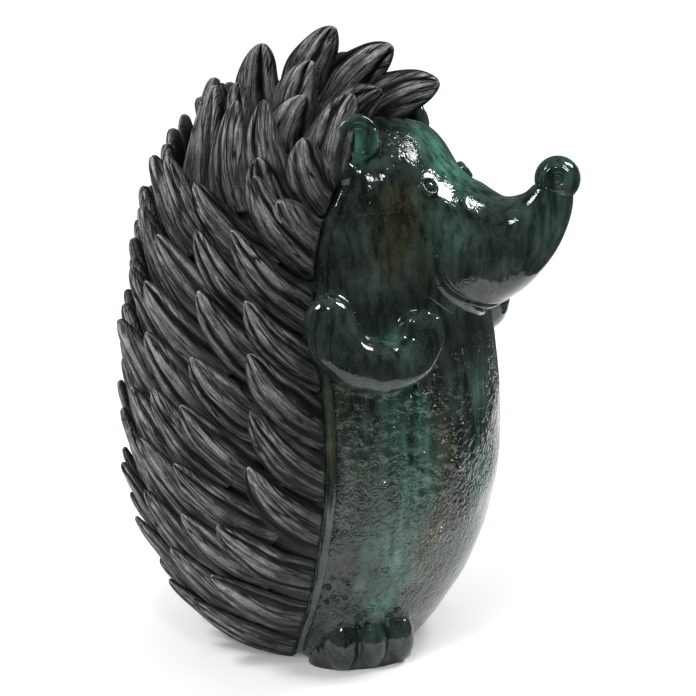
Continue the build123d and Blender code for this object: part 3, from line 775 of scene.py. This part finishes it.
def rounded_tube(path, rows, cols):
    """A tube round a smooth path with round ends: the path is lengthened by a half ball at each end, where
    the radius falls as the root of one less the square of the way along."""
    line = curve(path, rows)
    way = unit(np.gradient(line[:, :3], axis=0))
    bend = np.sin(np.linspace(0, pi / 2, END_ROWS, endpoint=False))
    first_r, last_r = line[0, 3], line[-1, 3]
    start = np.concatenate([line[0, :3] - way[0] * (first_r * (1 - bend))[:, None],
                            (first_r * np.sqrt(1 - (1 - bend) ** 2))[:, None]], 1)[1:]
    stop = np.concatenate([line[-1, :3] + way[-1] * (last_r * bend)[:, None],
                           (last_r * np.sqrt(1 - bend ** 2))[:, None]], 1)[1:]
    line = np.concatenate([start, line, stop])
    way = unit(np.gradient(line[:, :3], axis=0))
    side = unit(np.cross(way, SEEN_FROM))
    turn = around(cols)[None, :, None]
    ring = side[:, None] * np.cos(turn) + np.cross(side, way)[:, None] * np.sin(turn)
    ends = path[0, :3] - way[0] * first_r, path[-1, :3] + way[-1] * last_r
    return line[:, None, :3] + ring * line[:, 3, None, None], ring, ends


def mirror_pair(name, grid, poles, node):
    """Makes a right-hand piece and its mirror image. The mirror turns every face over, so its corners are
    listed the other way round."""
    points, quads, tris = closed_skin(grid, *poles)
    for hand, side in ((1, "right"), (-1, "left")):
        placed = points * np.array([hand, 1, 1])
        make_piece(f"{name}_skin_{side}", (placed, quads[:, ::hand], tris[:, ::hand]), glaze,
                   smooth_glaze(placed), node.format(side))


arm, arm_ring, arm_ends = rounded_tube(arm_path, ARM_ROWS, ARM_COLS)
flat = arm.reshape(-1, 3)
arm_skin = settle(arm, grid_normals(arm, arm_ring), [(egg_distance, 5), (hand_distance, 2)],
                  GLAZE_T + 0.3 * wobble(flat, 15, 4), egg_distance(flat))
mirror_pair("arm", arm_skin, arm_ends, "arm_{}")

# %% [markdown]
# ## Feet
# A foot is a mound of clay with three toes squeezed out of its front, flat below where it stands. It is a
# heap of rounded forms, so its skin is cast: from a middle point, each way is followed in from outside until
# it meets the form.

# %% Feet
FOOT_ROWS, FOOT_COLS, CAST_FROM, CAST_STEP, CAST_LEAST = 120, 200, 42, 0.8, 0.1
FOOT_CENTRE_REACH, FOOT_CENTRE_Z = 50, 9


def outward_ball(rows, cols):
    """Directions from a centre: rows from straight down to straight up, columns round."""
    tilt = np.linspace(-pi / 2, pi / 2, rows + 2)[1:-1, None]
    turn = around(cols)[None, :]
    return np.stack([np.cos(tilt) * np.cos(turn), np.cos(tilt) * np.sin(turn), np.sin(tilt) + 0 * turn], -1)


def cast_skin(centre, ways, field, reach, steps=40):
    """The skin of a form seen from its centre: each way is followed inwards from outside until the field
    is zero."""
    t = np.full(ways.shape[:-1], float(reach))
    for _ in range(steps):
        t = np.maximum(t - CAST_STEP * field(centre + ways * t[..., None]), CAST_LEAST)
    return centre + ways * t[..., None]


ways = outward_ball(FOOT_ROWS, FOOT_COLS)
for name, angle in FOOT_ANGLES.items():
    centre = floor_place(angle, FOOT_CENTRE_REACH, FOOT_CENTRE_Z)

    def foot_field(p):
        """The foot and the glaze over it."""
        return foot_distance(p, angle) - GLAZE_T * 0.5

    foot_skin = cast_skin(centre, ways, foot_field, CAST_FROM)
    foot_skin[..., 2] = np.maximum(foot_skin[..., 2], 0)
    top = cast_skin(centre, np.array([[0, 0, 1.0]]), foot_field, CAST_FROM)[0]
    skin = closed_skin(foot_skin, np.array([centre[0], centre[1], 0]), top)
    make_piece(f"{name}_skin", skin, glaze, smooth_glaze(skin[0]), name)

# %% [markdown]
# ## Nose
# The nose is a ball of clay on the tip of the snout, with a ring pressed in each side for a nostril. Ball,
# rings and pits are distances too, so the same cast gives one skin with soft corners.

# %% Nose
nose_at = np.array([0, -SNOUT_REACH, NOSE_Z])
nostril_axis = unit(np.array([-0.96, -0.22, 0.12]))
NOSTRIL_R, NOSTRIL_WIRE_R, NOSTRIL_DEPTH, NOSTRIL_FILLET, PIT_R, PIT_OUT = 4.4, 1.0, 1.2, 1.2, 3.0, 0.3
NOSE_GLAZE_T, NOSE_ROWS, NOSE_COLS = 0.1, 110, 180


def ring_distance(p, centre, axis, ring_r, wire_r):
    """Distance to a ring: how far from its circle, less the wire's radius."""
    q = p - centre
    high = q @ axis
    out = np.linalg.norm(q - high[..., None] * axis, axis=-1)
    return np.hypot(out - ring_r, high) - wire_r


def nose_field(p):
    """The nose ball, a ring for each nostril, and a small pit inside each ring."""
    both = right_side(p)
    ring = ring_distance(both, nose_at + nostril_axis * (NOSE_R - NOSTRIL_DEPTH), nostril_axis, NOSTRIL_R,
                         NOSTRIL_WIRE_R)
    pit = ball_distance(both, nose_at + nostril_axis * (NOSE_R + PIT_OUT), PIT_R)
    return np.maximum(soft_min(ball_distance(p, nose_at, NOSE_R), ring, NOSTRIL_FILLET), -pit) - NOSE_GLAZE_T


nose_skin = cast_skin(nose_at, outward_ball(NOSE_ROWS, NOSE_COLS), nose_field, NOSE_R + 3, 24)
skin = closed_skin(nose_skin, nose_at - [0, 0, NOSE_R], nose_at + [0, 0, NOSE_R])
make_piece("nose_skin", skin, glaze, glaze_attributes(skin[0]), "nose")

# %% [markdown]
# ## Eyes
# An eye is a small bead of clay set in a low ring that a tool pressed round it. Bead and ring are one profile
# turned about the eye's axis. It sits on the point of the head's skin that is nearest to the eye of the
# frame, and looks straight out from there.

# %% Eyes
EYE_STEPS, EYE_COLS, EYE_PROUD, EYE_BACK, EYE_TOP = 44, 56, 0.5, 1.5, 1.95
EYE_R = (0.3, 0.9, 1.5, 2.0, 2.3, 2.45, 2.6, 2.9, 3.3, 3.7, 4.1, 4.4, 4.6, 4.7)
EYE_H = (1.9, 1.8, 1.5, 1.0, 0.5, 0.25, 0.5, 1.05, 1.35, 1.4, 1.2, 0.7, 0.1, -1.5)
eye_box = np.array(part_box("eye_right")) / MM
nearest = np.linalg.norm(head_skin - (eye_box.min(0) + eye_box.max(0)) / 2, axis=-1).argmin()
eye_normal = head_normals.reshape(-1, 3)[nearest]
eye_at = head_skin.reshape(-1, 3)[nearest] + EYE_PROUD * eye_normal
print("eye at", eye_at.round(1), "facing", eye_normal.round(2))


def revolve(profile, centre, axis, cols):
    """A profile of radius and height turned about an axis."""
    side = unit(np.cross(axis, [0, 0, 1.0]))
    turn = around(cols)[:, None]
    ring = side * np.cos(turn) + np.cross(axis, side) * np.sin(turn)
    return centre + ring[None] * profile[:, 0, None, None] + axis * profile[:, 1, None, None]


eye = revolve(curve(np.stack([EYE_R, EYE_H], -1), EYE_STEPS)[::-1], eye_at, eye_normal, EYE_COLS)
mirror_pair("eye", eye, (eye_at - eye_normal * EYE_BACK, eye_at + eye_normal * EYE_TOP), "eye_{}")

# %% [markdown]
# ## Ears
# An ear is an upright oval with a rolled rim and a dished cup, and a curl of clay winds in from the rim like
# the edge of a shell. The oval's profile goes out from the middle of the cup, over the rim and round the
# back. The curl is a raised line on the cup, and the rim dips where it opens.

# %% Ears
EAR_W, EAR_H, EAR_T = 20.0, 24.0, 7.0
EAR_ROWS, EAR_COLS, CURL_STEPS, CURL_HEIGHT, CURL_W = 90, 120, 60, 0.62, 0.12
OPENING_ANGLE, OPENING_W, OPENING_DEPTH, CUP_DEPTH = 318, 22, 0.75, 0.1
EAR_PROFILE = np.array([
    (0.04, -0.02), (0.25, -0.10), (0.42, -0.02), (0.52, 0.14), (0.60, 0.40), (0.70, 0.72), (0.82, 0.86),
    (0.93, 0.72), (0.99, 0.35), (1.00, 0.0), (0.97, -0.45), (0.88, -0.80), (0.70, -0.95), (0.40, -1.0),
    (0.04, -1.0),
])
ear_at = np.array([-34.5, -28.5, 222.5])
ear_facing, ear_along = unit(np.array([-0.83, -0.55, 0.10])), np.array([0.55, -0.83, 0.0])
ear_along = unit(ear_along - ear_facing * (ear_along @ ear_facing))
ear_up = np.cross(ear_facing, ear_along)
ear_up = ear_up if ear_up[2] > 0 else -ear_up

out, high = curve(EAR_PROFILE, EAR_ROWS).T[:, :, None]
ear_turn = around(EAR_COLS)
spread = np.stack([out * np.cos(ear_turn), out * np.sin(ear_turn)], -1)
curl_turn = np.radians(np.linspace(30, -200, CURL_STEPS))
curl_r = np.interp(np.linspace(0, 1, CURL_STEPS), (0, 0.25, 0.5, 1), (0.84, 0.66, 0.50, 0.30))
curl_line = np.stack([curl_r * np.cos(curl_turn), curl_r * np.sin(curl_turn)], -1)
curl_gap = np.linalg.norm(spread[:, :, None] - curl_line, axis=-1).min(-1)
on_cup = smooth(high, -0.4, -0.05) * (1 - smooth(out, 0.7, 0.9))
curl = CURL_HEIGHT * np.exp(-(curl_gap / CURL_W) ** 2) * on_cup
opening = OPENING_DEPTH * np.exp(-((np.degrees(ear_turn) - OPENING_ANGLE) / OPENING_W) ** 2)
ear_high = np.where(high > 0, high * (1 - opening * smooth(high, -0.1, 0.3)), high) + curl
ear = (ear_at + spread[..., :1] * EAR_W / 2 * ear_along + spread[..., 1:] * EAR_H / 2 * ear_up
       + (ear_high * EAR_T / 2)[..., None] * ear_facing)
mirror_pair("ear", ear[::-1], (ear_at - ear_facing * EAR_T / 2, ear_at - ear_facing * CUP_DEPTH), "ear_{}")

# %% [markdown]
# ## The seam bead
# A thin roll of glaze stands where the front meets the quills. It catches the light as one fine line from
# the foot up to the ear. It is a tube along the seam's curve, a little uneven in thickness.

# %% Seam bead
BEAD_R, BEAD_UNEVEN, BEAD_PROUD, BEAD_FORWARD, BEAD_END_GAP = 1.9, 0.25, 0.1, 2.2, 6
BEAD_STEPS, BEAD_ROWS, BEAD_COLS = 260, 420, 18
bead_z = np.linspace(BEAD_END_GAP, BODY_H - BEAD_END_GAP, BEAD_STEPS)
bead_z = bead_z[egg_radius(bead_z) > -seam_y(bead_z) + 2]
bead_y = seam_y(bead_z) - BEAD_FORWARD
bead_x = -np.sqrt((egg_radius(bead_z) + BEAD_PROUD) ** 2 - bead_y ** 2)
bead_line = np.stack([bead_x, bead_y, bead_z], -1)
bead_wire = BEAD_R + BEAD_UNEVEN * wobble(bead_line, 18, 6)
bead, _, bead_ends = rounded_tube(np.concatenate([bead_line, bead_wire[:, None]], 1), BEAD_ROWS, BEAD_COLS)
mirror_pair("seam_bead", bead, bead_ends, "belly_shell")

# %% [markdown]
# ## The quill coat
# The quills are laid in courses like shingles, each a leaf-shaped plate scored with a tool. The rule that
# lays them is the one that drives the CAD source: they grow up the back, lean back beside the seam, and stand
# away more and more on the crown. Only the crest, the forelock and the quills of the crown and round the ears
# are laid one by one, from their roots and tips in the photo.

# %% Laying rules
QUILL_L, QUILL_T_LOW, QUILL_T_HIGH, QUILL_BOW, QUILL_ROOT_DEPTH = 44.0, 3.4, 7.0, 5.0, 6.0
COURSE_PITCH, COURSE_FIRST, COURSES = 22.5, 10.0, 10
QUILL_SPACING, QUILL_W_SHARE, SEAM_GAP, TOP_COURSE_GAP = 20.0, 0.81, 1.0, 17.0
BEND_LOW_SHARE, BEND_HIGH_SHARE, BEND_LOW_Z, BEND_HIGH_Z = 0.85, 0.35, 46.0, 140.0
LEAN_LOW, LEAN_HIGH, LEAN_CROWN, WALL = 1.4, 0.95, -1.2, 7.0
LIFT_LOW, LIFT_BACK, LIFT_CROWN = 7, 16, 52
LEAN_VARIES_SHARE, LENGTH_VARIES_SHARE = 0.15, 0.08
LEAN_BEAT, LEAN_START, LENGTH_BEAT, LENGTH_START, COURSE_BEAT = 2.6, 1.0, 4.6, 2.0, 2.3


def lean_at(z):
    """How far a quill leans back for each unit of rise."""
    lean = LEAN_LOW + (LEAN_HIGH - LEAN_LOW) * z / SHOULDER_Z
    return lean + (LEAN_CROWN - LEAN_HIGH) * float(smooth(z, SHOULDER_Z - WALL, BODY_H - WALL))


def course_rule(root, normal, width, lean_varied, length_varied):
    """The frame of a course quill: root, axis, face, length, width, thickness, bend and bow."""
    rise = float(smooth(root[2], 0, SHOULDER_Z))
    out = sqrt(root[0] ** 2 + root[1] ** 2)
    lift = radians(LIFT_LOW + (LIFT_BACK - LIFT_LOW) * rise
                   + (LIFT_CROWN - LIFT_BACK) * float(smooth(normal[2], 0.4, 1)))
    sideways = abs(root[0]) / out
    way = np.array([0, lean_at(root[2]) * sideways * lean_varied, 1.0])
    grow = unit(way - normal * (way @ normal))
    axis = grow * cos(lift) + normal * sin(lift)
    face = normal * cos(lift) - grow * sin(lift)
    if root[2] > SHOULDER_Z:
        bent = 1 / CROWN_R
    else:
        cross = float(unit(np.array([-root[1], root[0], 0])) @ grow) ** 2
        bent = sqrt(1 - normal[2] ** 2) / out * cross
        bent += (1 - cross) / (LOW_ARC_R if root[2] < WIDEST_Z else UP_ARC_R)
    share = BEND_LOW_SHARE
    share += (BEND_HIGH_SHARE - BEND_LOW_SHARE) * float(smooth(root[2], BEND_LOW_Z, BEND_HIGH_Z))
    bend = share * bent * (QUILL_L * cos(lift)) ** 2 / 2
    bow = QUILL_BOW * sideways * (-1 if root[0] > 0 else 1)
    thickness = QUILL_T_LOW + (QUILL_T_HIGH - QUILL_T_LOW) * rise
    return root, axis, face, QUILL_L * length_varied, width, thickness, bend, bow


def course_rules(number):
    """Frames of one ring of quills from seam to seam, every second ring set half a quill over."""
    r, z, turn = (float(v) for v in egg_place(COURSE_FIRST + number * COURSE_PITCH))
    edge = SEAM_GAP + (TOP_COURSE_GAP if number == COURSES - 1 else 0)
    reach = r * acos(float(seam_y(z)) / r) - edge
    first = (number % 2) / 2
    steps = int(reach / QUILL_SPACING - first)
    spacing = reach / (steps + first)
    for step in range(steps + 1):
        place = spacing * (step + first)
        lean_varied = 1 + LEAN_VARIES_SHARE * sin(LEAN_BEAT * step + COURSE_BEAT * number + LEAN_START)
        length_varied = 1 + LENGTH_VARIES_SHARE * sin(LENGTH_BEAT * step + COURSE_BEAT * number
                                                      + LENGTH_START)
        for hand in ((1, -1) if place else (1,)):
            out = np.array([-sin(hand * place / r), cos(hand * place / r), 0])
            up = np.array([0, 0, 1.0])
            yield course_rule(out * r + up * z, out * cos(turn) + up * sin(turn), spacing * QUILL_W_SHARE,
                              lean_varied, length_varied)


print("quills in courses", sum(1 for number in range(COURSES) for _ in course_rules(number)))

# %% [markdown]
# ### Quills laid one by one
# Each row gives a quill's root on the crown, to the side and forward, and its tip, to the side, forward and
# up, all as shares of the crown's radius.

# %% Quills laid one by one
CROWN_QUILL_W, CROWN_QUILL_T, CROWN_QUILL_BOW = 20.0, 7.0, 3.5
CREST_SHARES = (
    (0, -0.13, 0, 0.100, 1.520), (0, 0.12, 0, 0.505, 1.410), (0, -0.40, 0, -0.410, 1.395),
    (0, -0.66, 0, -0.725, 1.120),
)
FORELOCK_SHARES = (0, 0.36, 0, 0.830, 1.185)
SEAM_QUILL_SHARES = (
    (0.920, 0.290, 1.03, 0.09, 0.52), (0.800, 0.330, 0.80, 0.17, 0.88), (0.727, 0.312, 0.44, 0.37, 1.12),
    (0.930, 0.120, 0.95, -0.06, 0.77),
)
CROWN_SHARES = (
    (0.64, 0.02, 0.56, 0.10, 1.12), (0.60, -0.32, 0.50, -0.36, 1.18), (0.38, -0.62, 0.31, -0.70, 1.06),
    (0.36, 0.30, 0.27, 0.50, 1.16), (0.38, -0.03, 0.28, 0.05, 1.31),
)


def crown_rule(row, hand=1):
    """The frame of a quill laid one by one, from its root and tip as shares of the crown's radius."""
    x, y, tip_x, tip_y, tip_z = (share * CROWN_R for share in row)
    root = np.array([-x, -y, CROWN_Z + sqrt(CROWN_R ** 2 - x ** 2 - y ** 2)])
    axis = np.array([-tip_x, -tip_y, CROWN_Z + tip_z]) - root
    length = float(np.linalg.norm(axis))
    axis = axis / length
    outwards = np.array([-x, -y, 0]) if x else np.array([-1.0, 0, 0])
    face = unit(outwards - axis * (outwards @ axis))
    side = np.array([hand, 1, 1])
    return (root * side, axis * side, face * side, length, CROWN_QUILL_W, CROWN_QUILL_T, 0,
            CROWN_QUILL_BOW * hand)


print("forelock", round(crown_rule(FORELOCK_SHARES)[3], 1), "mm long")

# %% [markdown]
# ### One quill
# Looked at from the tip, a quill is a flattened leaf: crowned above, flatter below. Five to seven grooves run
# its length and close up towards the tip, since they are drawn at even shares of its width. Its edge is
# thick and rounded, and its tip blunt.

# %% One quill
QUILL_ROWS, QUILL_COLS, EAR_BOTTOM_Z = 44, 64, 207.0
WIDE_SHARE, TAPER, TIP_POWER, COURSE_TIP, CROWN_TIP = 1.14, 0.12, 0.62, 3.4, 3.8
TOP_SHARE, BOTTOM_SHARE, BOTTOM_MORE, KEEL_SHARE, KEEL_W, SKIN_T = 0.50, 0.34, 0.25, 0.16, 0.35, 0.8
GROOVE_DEPTH, FINE_DEPTH, GROOVE_SHARP, TIP_CURL, SEAM_CUT = 1.5, 0.28, 3.0, 2.2, 0.3


def quill_skin(rule, seed):
    """Points, tip, slip shares and grain places of one quill. Across it x runs from -1 to 1 and the height is
    (1 - x squared) to a power; along it the half width is a leaf's outline. Grooves are narrow valleys of a
    cosine of x, drawn with a slight waver, and each has a depth of its own. The slip share is high on the
    crests and low in the grooves. Painted shade darkens it towards the root and along both side edges, and
    painted light brightens it towards the tip."""
    root, axis, face, length, width, thickness, bend, bow = rule
    rng = np.random.default_rng(seed)
    side = np.cross(axis, face)
    v = np.linspace(0, 1, QUILL_ROWS + 1)[:-1, None]
    v = 0.75 * v + 0.25 * np.sin(v * pi / 2)
    tip_end = 1 - v ** (COURSE_TIP if bend else CROWN_TIP)
    leaf = (WIDE_SHARE - TAPER * smooth(v, 0.25, 0.75)) * tip_end ** TIP_POWER
    u = around(QUILL_COLS)
    u = u - 0.35 * np.sin(2 * u) / 2
    x = np.cos(u) + 0 * v
    top = (np.sin(u) >= 0) & (v >= 0)
    count = rng.uniform(2.2, 3.2)
    phase = rng.uniform(0, 2 * pi)
    waver = 0.06 * np.sin(v * rng.uniform(3, 6) + rng.uniform(0, 6)) + 0.025 * np.sin(v * 17 + phase)
    line = pi * count * (x + waver) + phase + 0.8 * np.sin(2.1 * x + phase)
    valley = (0.5 + 0.5 * np.cos(line)) ** GROOVE_SHARP
    valley = valley * (0.65 + 0.35 * np.sin(line / 2 + rng.uniform(0, 6)))
    fine = (0.5 + 0.5 * np.cos(2.7 * line + 2 * phase)) ** GROOVE_SHARP
    ends = smooth(v, 0, 0.08) * (1 - x ** 6)
    keel = KEEL_SHARE * np.exp(-((x - 0.25 * np.sin(phase)) / KEEL_W) ** 2)
    under = BOTTOM_SHARE + BOTTOM_MORE * smooth(v, 0.35, 0.8)
    crown = np.where(top, TOP_SHARE * (1 - x ** 2) ** 0.55 + keel, -under * (1 - x ** 2) ** 0.5) - 0.05
    depth = (GROOVE_DEPTH * valley + FINE_DEPTH * fine) * ends * np.minimum(1, leaf * 1.8)
    height = (thickness + SKIN_T) * leaf ** 0.5 * crown - np.where(top, depth, 0)
    centre = root + axis * (v * (length + QUILL_ROOT_DEPTH) - QUILL_ROOT_DEPTH) - face * (bend * v ** 2)
    centre = centre - side * (bow * 4 * v * (1 - v)) + face * (TIP_CURL * smooth(v, 0.5, 1) ** 2)
    half = leaf * width / 2
    edge_waver = 1 + 0.04 * np.sin(v * rng.uniform(6, 11) + phase) * np.sign(x)
    points = centre[:, None] + side * (x * half * edge_waver)[..., None] + face * height[..., None]
    tip = root + axis * length - face * (bend - TIP_CURL)
    cut_y = np.maximum(points[..., 1], seam_y(points[..., 2]) + SEAM_CUT)
    points[..., 1] = np.where(points[..., 2] < EAR_BOTTOM_Z, cut_y, points[..., 1])
    points[..., 2] = np.maximum(points[..., 2], 0)
    grain = np.stack([x * half, v * length + 0 * x, np.full_like(x, seed * 7.3)], -1)
    crest = np.clip(1 - 1.3 * valley - 0.35 * fine, 0, 1)
    # Painted shade and light on the slip: darker towards the root, where the quill above shades it, lighter
    # towards the tip, and darker along both side edges.
    root_shade_tip_light = 0.35 + 0.65 * smooth(v, 0.2, 0.9)
    rim = 0.2 + 0.8 * smooth(1 - np.abs(x), 0.02, 0.3)
    return points, tip, np.where(top, crest * root_shade_tip_light * rim, 0.05), grain


# %% [markdown]
# ### Quills on the pot
# The quills of a course were pressed on in one go, so they are one mesh. Each quill gets a number of its own
# from the name of its piece, so that its grooves never change from run to run.

# %% Quills
# Slip share at the root and tip poles of a quill: painted shade at the root, painted light at the tip.
ROOT_SHADED_SLIP, TIP_LIT_SLIP = 0.3, 0.9


def seed_of(name):
    """A whole number that depends on a name alone."""
    return sum(ord(letter) * (place + 3) for place, letter in enumerate(name))


def make_quills(name, rules, node):
    """All the quills of a node as one mesh. A quill's columns run clockwise seen from its tip, so its corners
    are listed the other way round."""
    skins, slips_with_shade, grains, start = [], [], [], 0
    for number, rule in enumerate(rules):
        grid, tip, slip_with_shade, grain = quill_skin(rule, seed_of(name) + number)
        points, quads, tris = closed_skin(grid, grid[0].mean(0), tip)
        skins.append((points, quads[:, ::-1] + start, tris[:, ::-1] + start))
        slips_with_shade.append([*slip_with_shade.ravel(), ROOT_SHADED_SLIP, TIP_LIT_SLIP])
        grains.append(np.concatenate([grain.reshape(-1, 3), grain[0, :1], grain[-1, :1]]))
        start += len(points)
    make_piece(name, [np.concatenate(part) for part in zip(*skins)], quill_clay,
               {"slip_with_shade": np.concatenate(slips_with_shade), "grain": np.concatenate(grains)}, node)


for number in range(COURSES):
    make_quills(f"course_{number + 1:02d}", course_rules(number), f"quill_course_{number + 1:02d}")
make_quills("crest", [crown_rule(row) for row in CREST_SHARES], "crest_quills")
make_quills("forelock", [crown_rule(FORELOCK_SHARES)], "forelock_quill")
for side, hand in (("right", 1), ("left", -1)):
    make_quills(f"ear_side_{side}", [crown_rule(row, hand) for row in SEAM_QUILL_SHARES],
                f"seam_quills_{side}")
    make_quills(f"crown_{side}", [crown_rule(row, hand) for row in CROWN_SHARES], f"crown_quills_{side}")

# %% [markdown]
# ## The clay that still shows
# Between the quills the wall of the pot shows as dark clay, and under the foot the slab is bare.

# %% Finishes on the CAD nodes
FINISHES = {"coat_shell": coat_clay, "base_slab": buff_clay}
for name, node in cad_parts.items():
    node.data.materials.clear()
    node.data.materials.append(FINISHES.get(name, glaze))
print("bare clay on", *FINISHES)

# %% [markdown]
# ## Table and background
# The photo was taken on a pale table, and its background is cut out to white. The glaze is a mirror, so it
# matters what it sees: a narrow pale table up to a sharp edge, and a dim room beyond. The wider table that
# takes the shadow, the white floor and the white wall are kept out of the mirror.

# %% Table and background
CAMERA_AZIMUTH, CAMERA_ELEVATION, CAMERA_REACH = -70, 13, 0.95
WHITE, BLACK, TABLE_WHITE = colour("#ffffff"), colour("#000000"), colour("#f4f4f3")
TABLE_GLOW, BACKGROUND_GLOW = 0.12, 1.05
towards = np.array([sin(radians(CAMERA_AZIMUTH)), -cos(radians(CAMERA_AZIMUTH))])
sideways = np.array([towards[1], -towards[0]])

# Two level edges of each card: place towards the camera, half width and height
TABLE_EDGES = (0.22, 0.18, 0), (-0.45, 0.27, 0)
REST_EDGES = (0.3, 0.6, -0.0005), (-0.9, 0.6, -0.0005)
WALL_EDGES = (-2.6, 1.6, -0.001), (-2.6, 1.6, 2.5)
FLOOR_EDGES = (2.6, 2.6, -0.001), (-2.6, 2.6, -0.001)


def stage_card(name, edges, material):
    """A flat four-cornered card of the set between two level edges."""
    mesh = bpy.data.meshes.new(name)
    first, last = edges
    corners = [(*(towards * reach + sideways * (side * half)).tolist(), up)
               for (reach, half, up), side in ((first, -1), (first, 1), (last, 1), (last, -1))]
    mesh.from_pydata(corners, [], [(0, 3, 2, 1)])
    mesh.materials.append(material)
    card = bpy.data.objects.new(name, mesh)
    bpy.context.scene.collection.objects.link(card)
    card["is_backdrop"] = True
    return card


table_paint, _, _ = new_material("pale_table", Base_Color=TABLE_WHITE, Roughness=0.85, Emission_Color=WHITE,
                                 Emission_Strength=TABLE_GLOW)
lit_paint, _, _ = new_material("lit_background", Base_Color=BLACK, Emission_Color=WHITE,
                               Emission_Strength=BACKGROUND_GLOW)
stage_card("table", TABLE_EDGES, table_paint)
stage_card("table_rest", REST_EDGES, table_paint).visible_glossy = False
for name, edges in (("backdrop", WALL_EDGES), ("wide_floor", FLOOR_EDGES)):
    card = stage_card(name, edges, lit_paint)
    card.visible_glossy = card.visible_diffuse = False
print("table from", TABLE_EDGES[0][0], "to", TABLE_EDGES[1][0], "m towards the camera")

# %% [markdown]
# ## Lights and room
# The glaze mirrors three soft lights: a tall one in front to the right of the picture, one behind on the left
# and a small one near the camera. Three wide fills light the clay and the table evenly, and the glaze does
# not mirror them. The room itself is a dim grey.

# %% Lights and room
LIGHT_AIM = Vector((0, 0, 0.13))
ROOM_GREY, ROOM_GLOW = colour("#8c9194"), 0.25

# Azimuth, elevation, distance, width, height and power
LIGHTS = {
    "front_light": (42, 47, 1.5, 0.26, 0.70, 20), "left_light": (-160, 50, 1.6, 0.36, 0.42, 15),
    "near_light": (-84, 57, 1.5, 0.14, 0.18, 3),
}
FILLS = {
    "top_light": (-60, 82, 1.8, 1.0, 1.0, 4), "table_light": (110, 60, 3.2, 3.0, 3.0, 29),
    "side_light": (-100, 28, 1.6, 1.0, 1.0, 14),
}


def look_back(name, data, aim, azimuth, elevation, reach):
    """A light or camera at an azimuth, an elevation and a distance from a place, turned to look at it."""
    a, e = radians(azimuth), radians(elevation)
    way = Vector((sin(a) * cos(e), -cos(a) * cos(e), sin(e)))
    thing = bpy.data.objects.new(name, data)
    thing.location = aim + way * reach
    thing.rotation_euler = (-way).to_track_quat("-Z", "Y").to_euler()
    bpy.context.scene.collection.objects.link(thing)
    return thing


for name, (azimuth, elevation, reach, wide, high, power) in {**LIGHTS, **FILLS}.items():
    lamp = bpy.data.lights.new(name, "AREA")
    lamp.shape = "RECTANGLE"
    lamp.size, lamp.size_y, lamp.energy = wide, high, power
    look_back(name, lamp, LIGHT_AIM, azimuth, elevation, reach).visible_glossy = name in LIGHTS
world = bpy.data.worlds.new("room")
world.use_nodes = True
feed(world.node_tree.nodes["Background"], n0=ROOM_GREY, n1=ROOM_GLOW)
bpy.context.scene.world = world
bpy.context.scene.view_settings.view_transform = "Standard"
print("lights", *LIGHTS, "and fills", *FILLS)

# %% [markdown]
# ## Camera
# The photo was taken from a little above the table with a long lens, which keeps the figure's proportions.
# Place and lens were fitted until outline, seam, nose and ear lay on the photo.

# %% Camera
LENS, SENSOR_W, FARTHEST_SEEN = 113.0, 36.0, 30.0
CAMERA_AIM = Vector((0, -0.012, 0.128))
camera_data = bpy.data.cameras.new("camera")
camera_data.lens, camera_data.sensor_width, camera_data.clip_end = LENS, SENSOR_W, FARTHEST_SEEN
bpy.context.scene.camera = look_back("camera", camera_data, CAMERA_AIM, CAMERA_AZIMUTH, CAMERA_ELEVATION,
                                     CAMERA_REACH)
print("camera at", [round(x, 3) for x in bpy.context.scene.camera.location])

# %% [markdown]
# ## Sizes and finish
# The size of the CAD model and that of the finished skins are given side by side as the cell's result, so
# that they can be compared.

# %% Sizes and finish
low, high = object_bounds()
{"cad": [list(cad_low), list(cad_high)], "visual": [list(low), list(high)]}
